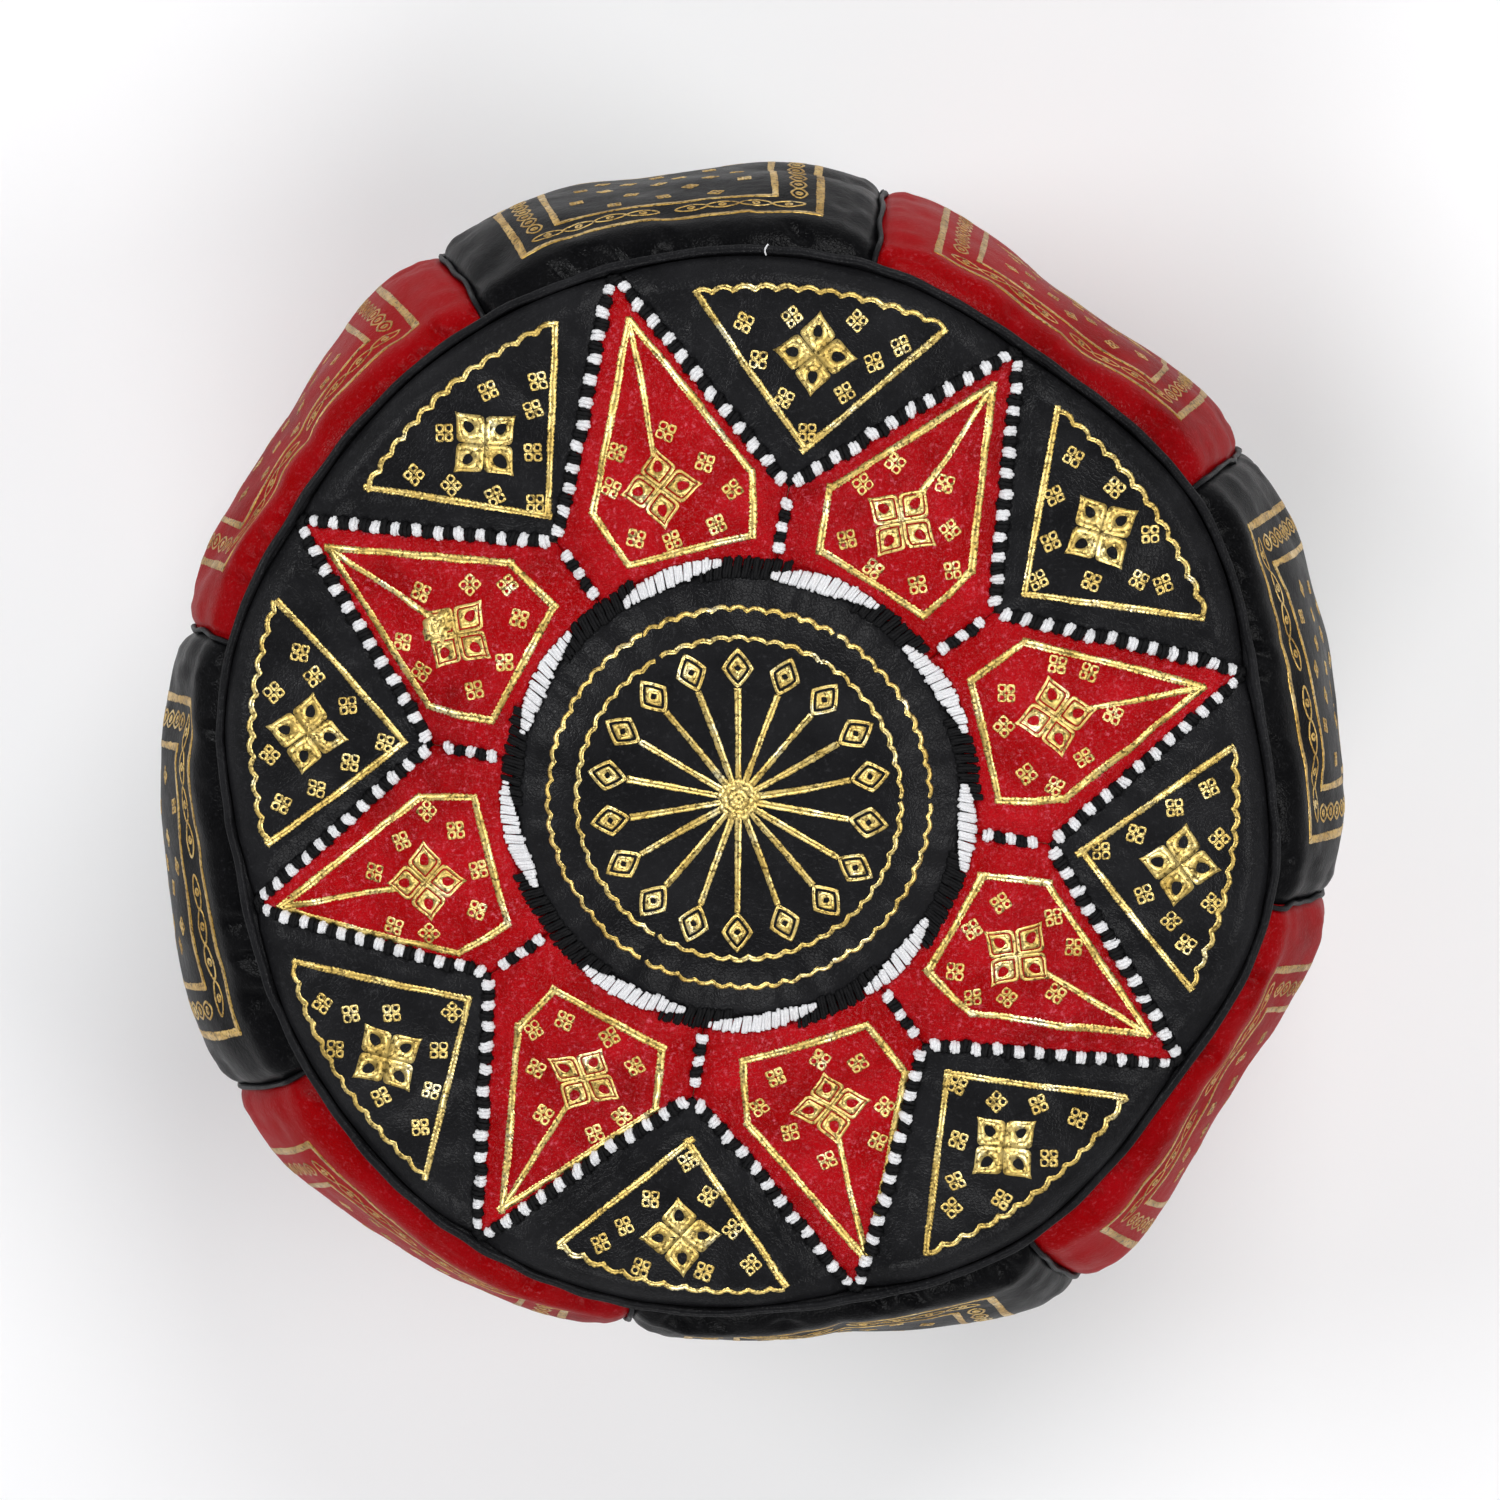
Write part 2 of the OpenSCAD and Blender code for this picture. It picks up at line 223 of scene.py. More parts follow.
def place(th, m, h=0.0, rel=True):
    """Points of the cover, in mm: angle, meridian coordinate, and height above the leather's outer face."""
    th, m = np.broadcast_arrays(np.asarray(th, float), np.asarray(m, float))
    R, Z, nR, nZ = profile(m)
    c, s = np.cos(th), np.sin(th)
    P = np.stack([R * c, R * s, Z], -1)
    N = np.stack([nR * c, nR * s, nZ], -1)
    hh = (relief(th, m, P) if rel else 0.0) + h
    rad, tan = shape_field(th, m)
    return P + N * np.asarray(hh)[..., None] + np.stack([rad * c - tan * s, rad * s + tan * c, np.zeros_like(rad)], -1) + sample(SIM, th, m)


def plan(x, y, h=0.0):
    """A point of the top, from its plan position in mm."""
    return place(np.arctan2(y, x), np.minimum(np.hypot(x, y) / RS, 0.9999), h)


def simulate():
    """Stuffs the cover: a cloth simulation with every seam held, whose cut is a little larger than the
    space between the seams, so that it puffs out and puckers along them. Its moves go in the coarse field."""
    global SIM
    nt = 176
    ms = np.concatenate([np.linspace(0.06, 1.0, 20), np.linspace(1.04, 2.0, 25), np.linspace(2.05, 2.94, 9)])
    th = np.arange(nt) * 2 * PI / nt + math.radians(SIDE)
    T, M = np.meshgrid(th, ms)
    P = place(T, M, 0.0, rel=False)
    n = len(ms) * nt
    V = np.concatenate([P.reshape(-1, 3), place(np.array([0.0]), np.array([0.0]), 0, rel=False), place(np.array([0.0]), np.array([3.0]), 0, rel=False)]) * 0.001
    i, j = np.meshgrid(np.arange(len(ms) - 1), np.arange(nt), indexing="ij")
    q = np.stack([i * nt + j, i * nt + (j + 1) % nt, (i + 1) * nt + (j + 1) % nt, (i + 1) * nt + j], -1).reshape(-1, 4)[:, ::-1]
    c = np.arange(nt); c2 = (c + 1) % nt; last = (len(ms) - 1) * nt
    tri = np.concatenate([np.stack([np.full(nt, n), c, c2], -1), np.stack([np.full(nt, n + 1), last + c2, last + c], -1)])
    me = bpy.data.meshes.new("stuffing_pass")
    me.from_pydata([tuple(v) for v in V], [], [tuple(map(int, f)) for f in q] + [tuple(map(int, f)) for f in tri])
    o = bpy.data.objects.new("stuffing_pass", me); bpy.context.scene.collection.objects.link(o)
    rho = M * RS
    ds = star_distance(np.minimum(rho, RS), T)
    held = ((M <= 1) & (ds < 2.6) & (rho > 88)) | ((M <= 1) & (np.abs(rho - 93.5) < 5.0)) | (np.abs(M - 1) < 0.012) | (np.abs(M - 2) < 0.012)
    held |= (M > 1) & (M < 2) & (np.abs(seam_offset(T)) < 0.006)
    held |= M > 2.15
    idx = list(map(int, np.nonzero(np.concatenate([held.ravel(), [False, True]]))[0]))
    vg = o.vertex_groups.new(name="seams"); vg.add(idx, 1.0, "REPLACE")
    md = o.modifiers.new("Cloth", "CLOTH"); cs = md.settings
    cs.quality = 5; cs.mass = 0.5
    cs.tension_stiffness = cs.compression_stiffness = 45; cs.shear_stiffness = 18; cs.bending_stiffness = 1.6
    cs.tension_damping = cs.compression_damping = 12; cs.shear_damping = 10; cs.bending_damping = 1.5; cs.air_damping = 6
    cs.vertex_group_mass = "seams"; cs.pin_stiffness = 1
    cs.use_pressure = True; cs.uniform_pressure_force = 4.0
    cs.shrink_min = cs.shrink_max = -0.045
    cs.effector_weights.gravity = 0
    md.collision_settings.use_collision = False
    md.collision_settings.use_self_collision = False
    md.point_cache.frame_start, md.point_cache.frame_end = 1, 26
    sc = bpy.context.scene; sc.frame_start, sc.frame_end = 1, 26
    for f in range(1, 25):
        sc.frame_set(f)
    dg = bpy.context.evaluated_depsgraph_get()
    e = o.evaluated_get(dg)
    co = np.zeros(len(e.data.vertices) * 3, np.float32); e.data.vertices.foreach_get("co", co)
    D = (co.reshape(-1, 3)[:n] * 1000 - V[:n] * 1000).reshape(len(ms), nt, 3)
    sc.frame_set(1)
    bpy.data.objects.remove(o); bpy.data.meshes.remove(me)
    ln = np.linalg.norm(D, axis=2, keepdims=True)
    CAP = 9.0
    D = D * (np.minimum(ln, CAP) / np.maximum(ln, 1e-6))
    print("cloth moves, mm: mean %.2f, 95%% %.2f, largest %.2f" % (ln.mean(), np.percentile(ln, 95), ln.max()))
    # onto the coarse field's own grid
    x = ((COLS - math.radians(SIDE)) / (2 * PI) * nt) % nt
    i0 = np.floor(x).astype(int); u = (x - i0)[None, :, None]
    A = D[:, i0 % nt] * (1 - u) + D[:, (i0 + 1) % nt] * u
    k = np.clip(np.searchsorted(ms, ROWS) - 1, 0, len(ms) - 2)
    v = np.clip((ROWS - ms[k]) / (ms[k + 1] - ms[k]), 0, 1)[:, None, None]
    SIM = (A[k] * (1 - v) + A[k + 1] * v) * PUFF
    SIM[0] = SIM[0].mean(0); SIM[1] = SIM[1] * 0.5 + SIM[0] * 0.5
    SIM[ROWS > 2.15] = 0.0
    SIM *= np.where(ROWS <= 1, 1.0, 0.8)[:, None, None]


PUFF = 0.6
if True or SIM_ALWAYS:
    simulate()


# ------------------------------------------------------------------ mesh helpers
def mesh_piece(name, verts, quads, tris=None, mat=None, slot=None, body="pouf", replaces=(), smooth_shade=True, merge=0.0):
    me = bpy.data.meshes.new(name)
    quads = np.zeros((0, 4), int) if quads is None else np.asarray(quads, int).reshape(-1, 4)
    tris = np.zeros((0, 3), int) if tris is None else np.asarray(tris, int).reshape(-1, 3)
    v = np.asarray(verts, float).reshape(-1, 3) * 0.001
    me.vertices.add(len(v)); me.vertices.foreach_set("co", v.astype(np.float32).ravel())
    loops = np.concatenate([quads.ravel(), tris.ravel()])
    me.loops.add(len(loops)); me.loops.foreach_set("vertex_index", loops.astype(np.int32))
    starts = np.concatenate([np.arange(len(quads)) * 4, len(quads) * 4 + np.arange(len(tris)) * 3])
    totals = np.concatenate([np.full(len(quads), 4), np.full(len(tris), 3)])
    me.polygons.add(len(starts))
    me.polygons.foreach_set("loop_start", starts.astype(np.int32))
    me.polygons.foreach_set("loop_total", totals.astype(np.int32))
    me.polygons.foreach_set("use_smooth", np.full(len(starts), smooth_shade))
    me.update(calc_edges=True); me.validate()
    o = bpy.data.objects.new(name, me)
    bpy.context.scene.collection.objects.link(o)
    if mat is not None:
        me.materials.append(mat)
    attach(o, body)
    if replaces:
        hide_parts(*replaces)
    return o


def grid_quads(nr, nc, wrap=False, off=0):
    i, j = np.meshgrid(np.arange(nr - 1), np.arange(nc if wrap else nc - 1), indexing="ij")
    j2 = (j + 1) % nc
    return (np.stack([i * nc + j, i * nc + j2, (i + 1) * nc + j2, (i + 1) * nc + j], -1).reshape(-1, 4)) + off


def slab(top, bottom, flip=False):
    """A closed sheet of two grids of points with the same layout."""
    nr, nc, _ = top.shape
    n = nr * nc
    q = grid_quads(nr, nc)
    b = grid_quads(nr, nc, off=n)[:, ::-1]
    ring = np.concatenate([np.arange(nc), np.arange(1, nr) * nc + nc - 1, (nr - 1) * nc + np.arange(nc - 2, -1, -1), np.arange(nr - 2, 0, -1) * nc])
    nx = np.roll(ring, -1)
    w = np.stack([ring, ring + n, nx + n, nx], -1)
    Q = np.concatenate([q, b, w])
    if flip:
        Q = Q[:, ::-1]
    return np.concatenate([top.reshape(-1, 3), bottom.reshape(-1, 3)]), Q


def tubes(C, N, r, sides=6, closed=False, flat=1.0):
    """Tubes along the lines C (lines, points, 3), with normals N and radii r (lines, points)."""
    n, k, _ = C.shape
    T = (np.roll(C, -1, 1) - np.roll(C, 1, 1)) if closed else np.gradient(C, axis=1)
    T /= np.linalg.norm(T, axis=2, keepdims=True) + 1e-9
    B = np.cross(T, N); B /= np.linalg.norm(B, axis=2, keepdims=True) + 1e-9
    U = np.cross(B, T)
    a = np.arange(sides) * 2 * PI / sides
    V = C[:, :, None] + r[:, :, None, None] * (np.cos(a)[None, None, :, None] * B[:, :, None] + flat * np.sin(a)[None, None, :, None] * U[:, :, None])
    one = []
    rows = k if closed else k - 1
    i, j = np.meshgrid(np.arange(rows), np.arange(sides), indexing="ij")
    i2 = (i + 1) % k
    q = np.stack([i * sides + j, i * sides + (j + 1) % sides, i2 * sides + (j + 1) % sides, i2 * sides + j], -1).reshape(-1, 4)
    one.append(q)
    if not closed and sides == 6:
        e = (k - 1) * sides
        one.append(np.array([[3, 2, 1, 0], [5, 4, 3, 0], [e, e + 1, e + 2, e + 3], [e, e + 3, e + 4, e + 5]]))
    elif not closed and sides == 8:
        e = (k - 1) * sides
        one.append(np.array([[3, 2, 1, 0], [7, 4, 3, 0], [7, 6, 5, 4], [e, e + 1, e + 2, e + 3], [e, e + 3, e + 4, e + 7], [e + 4, e + 5, e + 6, e + 7]]))
    one = np.concatenate(one)
    Q = (one[None] + (np.arange(n) * k * sides)[:, None, None]).reshape(-1, 4)
    return V.reshape(-1, 3), Q


def join(parts):
    vs, qs, off = [], [], 0
    for v, q in parts:
        vs.append(v); qs.append(np.asarray(q) + off); off += len(v)
    return np.concatenate(vs), np.concatenate(qs)


# ------------------------------------------------------------------ materials
def nodes_of(name, rough=0.5, metal=0.0, coat=0.0, coat_rough=0.2, spec=0.5, sheen=0.0):
    m = bpy.data.materials.new(name); m.use_nodes = True
    nt = m.node_tree; nt.nodes.clear()
    out = nt.nodes.new("ShaderNodeOutputMaterial"); b = nt.nodes.new("ShaderNodeBsdfPrincipled")
    nt.links.new(b.outputs[0], out.inputs[0])
    b.inputs["Roughness"].default_value = rough; b.inputs["Metallic"].default_value = metal
    b.inputs["Coat Weight"].default_value = coat; b.inputs["Coat Roughness"].default_value = coat_rough
    b.inputs["Specular IOR Level"].default_value = spec
    b.inputs["Sheen Weight"].default_value = sheen
    co = nt.nodes.new("ShaderNodeTexCoord")
    return m, nt, b, co.outputs["Object"]


def noise(nt, vec, scale, detail=4, rough=0.55, stretch=None):
    if stretch is not None:
        mp = nt.nodes.new("ShaderNodeMapping"); mp.inputs["Scale"].default_value = stretch
        nt.links.new(vec, mp.inputs["Vector"]); vec = mp.outputs[0]
    n = nt.nodes.new("ShaderNodeTexNoise"); n.inputs["Scale"].default_value = scale
    n.inputs["Detail"].default_value = detail; n.inputs["Roughness"].default_value = rough
    nt.links.new(vec, n.inputs["Vector"])
    return n.outputs["Fac"]


def voronoi(nt, vec, scale, feature="F1", rand=1.0):
    n = nt.nodes.new("ShaderNodeTexVoronoi"); n.feature = feature
    n.inputs["Scale"].default_value = scale; n.inputs["Randomness"].default_value = rand
    nt.links.new(vec, n.inputs["Vector"])
    return n.outputs["Distance"]


def ramp(nt, fac, stops):
    r = nt.nodes.new("ShaderNodeValToRGB"); el = r.color_ramp.elements
    while len(el) < len(stops):
        el.new(0.5)
    for e, (p, c) in zip(el, stops):
        e.position = p; e.color = (*c, 1) if len(c) == 3 else c
    nt.links.new(fac, r.inputs[0])
    return r.outputs[0]


def maprange(nt, fac, a, b, lo, hi):
    n = nt.nodes.new("ShaderNodeMapRange"); n.inputs[1].default_value = a; n.inputs[2].default_value = b
    n.inputs[3].default_value = lo; n.inputs[4].default_value = hi; nt.links.new(fac, n.inputs[0])
    return n.outputs[0]


def mathn(nt, op, a, b):
    n = nt.nodes.new("ShaderNodeMath"); n.operation = op
    for i, x in enumerate((a, b)):
        if isinstance(x, (int, float)):
            n.inputs[i].default_value = x
        else:
            nt.links.new(x, n.inputs[i])
    return n.outputs[0]


def mix(nt, fac, a, b, mode="MIX"):
    n = nt.nodes.new("ShaderNodeMix"); n.data_type = "RGBA"; n.blend_type = mode
    for i, x in ((0, fac), (6, a), (7, b)):
        if isinstance(x, (int, float)):
            n.inputs[i].default_value = x
        elif isinstance(x, tuple):
            n.inputs[i].default_value = (*x, 1)
        else:
            nt.links.new(x, n.inputs[i])
    return n.outputs[2]


def bump(nt, bsdf, layers):
    prev = None
    for height, dist, strength in layers:
        n = nt.nodes.new("ShaderNodeBump"); n.inputs["Strength"].default_value = strength
        n.inputs["Distance"].default_value = dist
        nt.links.new(height, n.inputs["Height"])
        if prev is not None:
            nt.links.new(prev, n.inputs["Normal"])
        prev = n.outputs[0]
    nt.links.new(prev, bsdf.inputs["Normal"])
    if bsdf.inputs["Coat Weight"].default_value > 0:
        nt.links.new(prev, bsdf.inputs["Coat Normal"])


def leather(name, dark, base, light, rough, coat, spec, grain, fine=1.0, sheen_fleck_colour=(0.03, 0.03, 0.033), sheen_fleck_amount=0.30):
    m, nt, b, co = nodes_of(name, rough, coat=coat, coat_rough=0.16, spec=spec)
    big, mid = noise(nt, co, 9, 3), noise(nt, co, 42, 5, 0.62)
    c = ramp(nt, big, [(0.30, dark), (0.52, base), (0.75, base)])
    c = mix(nt, maprange(nt, mid, 0.40, 0.72, 0.0, 0.75), c, light)
    pores = voronoi(nt, co, 1150)
    c = mix(nt, maprange(nt, pores, 0.0, 0.35, 0.30, 0.0), c, dark)
    # Painted highlights: small specks of a paler colour (pink on the red, grey on the black), mixed into the base
    # colour in patches, stand in for glints off the grain; the same patch noise also varies the roughness.
    scuff_and_sheen_patches = noise(nt, co, 130, 6, 0.7)
    painted_sheen_specks = mathn(nt, "MULTIPLY", maprange(nt, noise(nt, co, 520, 4, 0.7), 0.55, 0.72, 0.0, 1.0), maprange(nt, scuff_and_sheen_patches, 0.42, 0.62, 0.15, 1.0))
    c = mix(nt, mathn(nt, "MULTIPLY", painted_sheen_specks, sheen_fleck_amount), c, sheen_fleck_colour)
    nt.links.new(c, b.inputs["Base Color"])
    nt.links.new(maprange(nt, mathn(nt, "ADD", mathn(nt, "MULTIPLY", mid, 0.6), mathn(nt, "MULTIPLY", scuff_and_sheen_patches, 0.4)), 0.3, 0.7, rough - 0.10, rough + 0.13), b.inputs["Roughness"])
    cells = voronoi(nt, co, 620, "DISTANCE_TO_EDGE")
    cells = maprange(nt, cells, 0.0, 0.22, 0.0, 1.0)
    crease = noise(nt, co, 260, 4, 0.6, (1.0, 1.0, 1.0))
    bump(nt, b, [(noise(nt, co, 75, 4, 0.6), 0.0013, grain), (crease, 0.0005 * fine, grain), (cells, 0.00018 * fine, grain * 0.8), (pores, 0.0001 * fine, grain * 0.7)])
    return m


# The last two values of each leather are its painted sheen specks' colour and amount. The two side leathers are darker
# copies of the top ones: their lower base colours are painted shade for the sides turning away from the light.
BLACK = leather("black_leather", (0.0050, 0.0050, 0.0056), (0.0085, 0.0085, 0.0094), (0.0150, 0.0150, 0.0165), 0.44, 0.07, 0.04, 0.36, 1.4, (0.040, 0.040, 0.043), 0.55)
BLACK_SIDE_SHADED = leather("black_leather_side_painted_shade", (0.0014, 0.0014, 0.0017), (0.0026, 0.0026, 0.0030), (0.0056, 0.0056, 0.0062), 0.36, 0.06, 0.018, 0.34, 1.3, (0.028, 0.028, 0.031), 0.45)
RED = leather("red_leather", (0.195, 0.0004, 0.0010), (0.315, 0.0005, 0.0014), (0.490, 0.006, 0.012), 0.40, 0.12, 0.012, 0.66, 2.0, (0.78, 0.16, 0.22), 0.60)
RED_SIDE_SHADED = leather("red_leather_side_painted_shade", (0.16, 0.0004, 0.0010), (0.26, 0.0005, 0.0012), (0.31, 0.002, 0.005), 0.38, 0.05, 0.008, 0.40, 1.3, (0.50, 0.08, 0.10), 0.40)


def gold_material(name="gold_leaf", k=(1.0, 0.97, 0.92)):
    m, nt, b, co = nodes_of(name, 0.45, metal=1.0)
    a = noise(nt, co, 70, 5, 0.65); f = noise(nt, co, 620, 4, 0.65)
    c = ramp(nt, a, [(0.28, (0.42, 0.29, 0.075)), (0.44, (0.66, 0.49, 0.155)), (0.58, (0.88, 0.71, 0.29)), (0.68, (1.0, 0.93, 0.62))])
    c = mix(nt, maprange(nt, f, 0.39, 0.49, 0.85, 0.0), c, (0.07, 0.045, 0.014))
    # k tints the leaf; the side copies' darker k is painted shade
    c = mix(nt, 1.0, c, k, "MULTIPLY")
    nt.links.new(c, b.inputs["Base Color"])
    nt.links.new(maprange(nt, a, 0.3, 0.7, 0.52, 0.34), b.inputs["Roughness"])
    bump(nt, b, [(noise(nt, co, 350, 4, 0.6), 0.0003, 0.35), (f, 0.00015, 0.45)])
    return m


GOLD = gold_material()
# The two side golds are darker tints of the same leaf: painted shade for the side panels turning away from the light,
# not wear; the darker one is for the red panels.
GOLD_SIDE_SHADED = gold_material("gold_leaf_side_painted_shade", (0.72, 0.60, 0.44))
GOLD_SIDE_DARK_SHADED = gold_material("gold_leaf_side_dark_painted_shade", (0.56, 0.42, 0.26))


def thread(name, c0, c1, rough, spec=0.3, sheen=0.15):
    m, nt, b, co = nodes_of(name, rough, spec=spec, sheen=sheen)
    f = noise(nt, co, 1700, 4, 0.7); g = noise(nt, co, 40, 3)
    c = mix(nt, maprange(nt, f, 0.3, 0.65, 0.0, 1.0), c0, c1)
    c = mix(nt, maprange(nt, g, 0.35, 0.7, 0.0, 0.35), c, c0)
    nt.links.new(c, b.inputs["Base Color"])
    nt.links.new(maprange(nt, f, 0.3, 0.7, rough - 0.1, rough + 0.1), b.inputs["Roughness"])
    bump(nt, b, [(f, 0.0004, 0.7)])
    return m


WHITE_T = thread("white_thread", (0.62, 0.62, 0.64), (0.90, 0.90, 0.91), 0.75)
BLACK_T = thread("black_thread", (0.0015, 0.0015, 0.0018), (0.009, 0.009, 0.010), 0.62, 0.10, 0.0)


def weave(name, c0, c1, scale, rough):
    m, nt, b, co = nodes_of(name, rough, spec=0.25, sheen=0.1)
    outs = []
    for d in ("X", "Y"):
        w = nt.nodes.new("ShaderNodeTexWave"); w.wave_type = "BANDS"; w.bands_direction = d
        w.inputs["Scale"].default_value = scale; w.inputs["Distortion"].default_value = 0.6
        w.inputs["Detail"].default_value = 1.0; w.inputs["Detail Scale"].default_value = 2.0
        nt.links.new(co, w.inputs["Vector"]); outs.append(w.outputs["Fac"])
    k = mathn(nt, "MULTIPLY", outs[0], outs[1])
    g = noise(nt, co, 60, 4)
    c = mix(nt, k, c0, c1); c = mix(nt, maprange(nt, g, 0.35, 0.7, 0, 0.4), c, c0)
    nt.links.new(c, b.inputs["Base Color"])
    nt.links.new(maprange(nt, k, 0, 1, rough + 0.1, rough - 0.05), b.inputs["Roughness"])
    bump(nt, b, [(k, 0.0003, 0.6)])
    return m


CANVAS = weave("canvas", (0.36, 0.30, 0.20), (0.56, 0.48, 0.34), 420, 0.85)
COTTON = weave("cotton_bag", (0.56, 0.52, 0.43), (0.76, 0.72, 0.62), 700, 0.9)
TAPE = weave("zip_tape", (0.006, 0.006, 0.007), (0.022, 0.022, 0.024), 900, 0.75)


def brass_material():
    m, nt, b, co = nodes_of("brass", 0.35, metal=1.0)
    a = noise(nt, co, 120, 5, 0.6); f = noise(nt, co, 1400, 3, 0.6, (1, 4, 1))
    c = ramp(nt, a, [(0.32, (0.36, 0.24, 0.09)), (0.5, (0.66, 0.48, 0.20)), (0.72, (0.80, 0.62, 0.30))])
    nt.links.new(c, b.inputs["Base Color"])
    nt.links.new(maprange(nt, mathn(nt, "ADD", mathn(nt, "MULTIPLY", a, 0.5), mathn(nt, "MULTIPLY", f, 0.5)), 0.3, 0.7, 0.24, 0.48), b.inputs["Roughness"])
    bump(nt, b, [(f, 0.00008, 0.5)])
    return m


BRASS = brass_material()


def wadding():
    m, nt, b, co = nodes_of("stuffing", 0.95, spec=0.1, sheen=0.2)
    f = noise(nt, co, 180, 8, 0.75); g = noise(nt, co, 22, 4)
    c = mix(nt, maprange(nt, f, 0.3, 0.7, 0, 1), (0.46, 0.44, 0.38), (0.70, 0.68, 0.61))
    c = mix(nt, maprange(nt, g, 0.4, 0.7, 0, 0.5), c, (0.38, 0.40, 0.44))
    nt.links.new(c, b.inputs["Base Color"])
    nt.links.new(maprange(nt, f, 0.3, 0.7, 0.85, 1.0), b.inputs["Roughness"])
    bump(nt, b, [(f, 0.002, 0.8)])
    return m


WADDING = wadding()


# ------------------------------------------------------------------ leather panels of the top
G = 0.16                                 # half of the hairline gap at each seam
SKIN = 1.9


def sector(name, centre, rhos, half, cols, mat, node, slot, thick=SKIN, h=0.0):
    """A panel of the top or the base as a closed sheet: radii, and half its angle at each of them."""
    th = centre + half[:, None] * np.linspace(-1, 1, cols)[None, :]
    m = np.broadcast_to((rhos / RS)[:, None], th.shape)
    V, Q = slab(place(th, m, h), place(th, m, h - thick))
    return mesh_piece(name, V, Q, mat=mat, slot=slot, replaces=[node] if node else [])


def spaced(a, b, step):
    return np.linspace(a, b, max(3, int(round((b - a) / step)) + 1))


PETALS = [math.radians(STAR - 45 * k) for k in range(8)]
for k, a in enumerate(PETALS):
    rho = np.unique(np.concatenate([spaced(93.7, 126.0, 1.35), spaced(126.0, 130.0, 0.8), spaced(130.0, 212.9, 1.5)]))
    ha = np.maximum(half_angle(rho) - G / rho, 0.25 / rho)
    sector(f"star_petal_{k+1}_leather", a, rho, ha, 61, RED, f"star_petal_{k+1}", "red_leather")
    rho = spaced(129.0, 212.9, 1.35)
    ha = np.maximum(PI / 8 - half_angle(rho) - G / rho, 0.25 / rho)
    sector(f"top_triangle_{k+1}_leather", a - PI / 8, rho, ha, 105, BLACK, f"top_triangle_{k+1}", "black_leather")

# the round middle: a disc closed at its centre
def disc(name, rhos, cols, h, thick, mat, node, slot, body="pouf"):
    th = np.arange(cols) * 2 * PI / cols
    T, R = np.meshgrid(th, rhos)
    top, bot = place(T, R / RS, h), place(T, R / RS, h - thick)
    n = top.shape[0] * cols
    c0, c1 = plan(np.array([0.0]), np.array([0.0]), h), plan(np.array([0.0]), np.array([0.0]), h - thick)
    V = np.concatenate([top.reshape(-1, 3), bot.reshape(-1, 3), c0, c1])
    q = grid_quads(len(rhos), cols, wrap=True)
    b = grid_quads(len(rhos), cols, wrap=True, off=n)
    j = np.arange(cols); j2 = (j + 1) % cols
    last = (len(rhos) - 1) * cols
    rim = np.stack([last + j, last + j2, last + j2 + n, last + j + n], -1)
    tri = np.concatenate([np.stack([np.full(cols, 2 * n), j, j2], -1), np.stack([np.full(cols, 2 * n + 1), n + j2, n + j], -1)])
    return mesh_piece(name, V, np.concatenate([q[:, ::-1], b, rim[:, ::-1]]), tri, mat=mat, slot=slot, replaces=[node] if node else [], body=body)


disc("medallion_leather", spaced(1.5, 93.3, 1.4), 300, 0.0, SKIN, BLACK, "medallion", "black_leather")

# ------------------------------------------------------------------ side panels
for k in range(8):
    s1 = math.radians(SIDE - 45 * k); s0 = s1 - PI / 4
    L = np.unique(np.concatenate([spaced(2.2, 40, 1.6), spaced(40, LSIDE - 40, 2.6), spaced(LSIDE - 40, LSIDE - 2.2, 1.8)]))
    m = 1 + L / LSIDE
    R = profile(m)[0]
    g = G / R
    x = np.linspace(-1, 1, 121); x = np.sign(x) * (1 - (1 - np.abs(x)) ** 1.12)
    th = (s0 + s1) / 2 + (PI / 8 - g)[:, None] * x[None, :]
    M = np.broadcast_to(m[:, None], th.shape)
    V, Q = slab(place(th, M, 0.0), place(th, M, -SKIN), flip=True)
    odd = k % 2 == 0
    # the side panels take the darker leather copies, whose lower base colour is painted shade
    mesh_piece(f"side_panel_{k+1}_leather", V, Q, mat=BLACK_SIDE_SHADED if odd else RED_SIDE_SHADED, slot="black_leather" if odd else "red_leather", replaces=[f"side_panel_{k+1}"])

# ------------------------------------------------------------------ welts
TH = np.arange(720) * 2 * PI / 720


def ring_welt(name, node, m, dr, dz, rad, fin, seed):
    w = waves(seed, 10, 14, 60)
    C = place(TH, m, 0.0, rel=False)
    e = np.stack([np.cos(TH), np.sin(TH), 0 * TH], -1)
    wob = w(C)
    C = C + e * (dr + 0.35 * wob)[:, None]; C[:, 2] += dz + 0.25 * w(C + 40)
    N = np.broadcast_to(np.array([0, 0, 1.0]), C.shape)
    tube = tubes(C[None], N[None], (rad * (1 + 0.05 * w(C + 90)))[None], 12, closed=True)
    P = place(TH, m, 0.0, rel=False)
    rows = []
    for (a, b) in fin:
        q = P + e * a; q[:, 2] += b; rows.append(q)
    F = np.stack(rows)                   # a closed strip: the welt's sewn flange
    strip = np.concatenate([F.reshape(-1, 3)]), np.concatenate([
        np.stack([i * 720 + np.arange(720), i * 720 + (np.arange(720) + 1) % 720, ((i + 1) % len(fin)) * 720 + (np.arange(720) + 1) % 720, ((i + 1) % len(fin)) * 720 + np.arange(720)], -1) for i in range(len(fin))])
    V, Q = join([tube, strip])
    return mesh_piece(name, V, Q, mat=BLACK, slot="black_leather", replaces=[node])


ring_welt("top_welt_leather", "top_welt", 1.0, 0.5, 0.2, 1.85, [(-0.6, -0.6), (0.5, -1.4), (-3.4, -6.6), (-4.6, -5.6)], 21)
ring_welt("bottom_welt_leather", "bottom_welt", 2.0, 0.7, -0.4, 2.35, [(0.3, 1.2), (-0.8, 0.4), (-7.6, 1.4), (-6.8, 2.6)], 22)

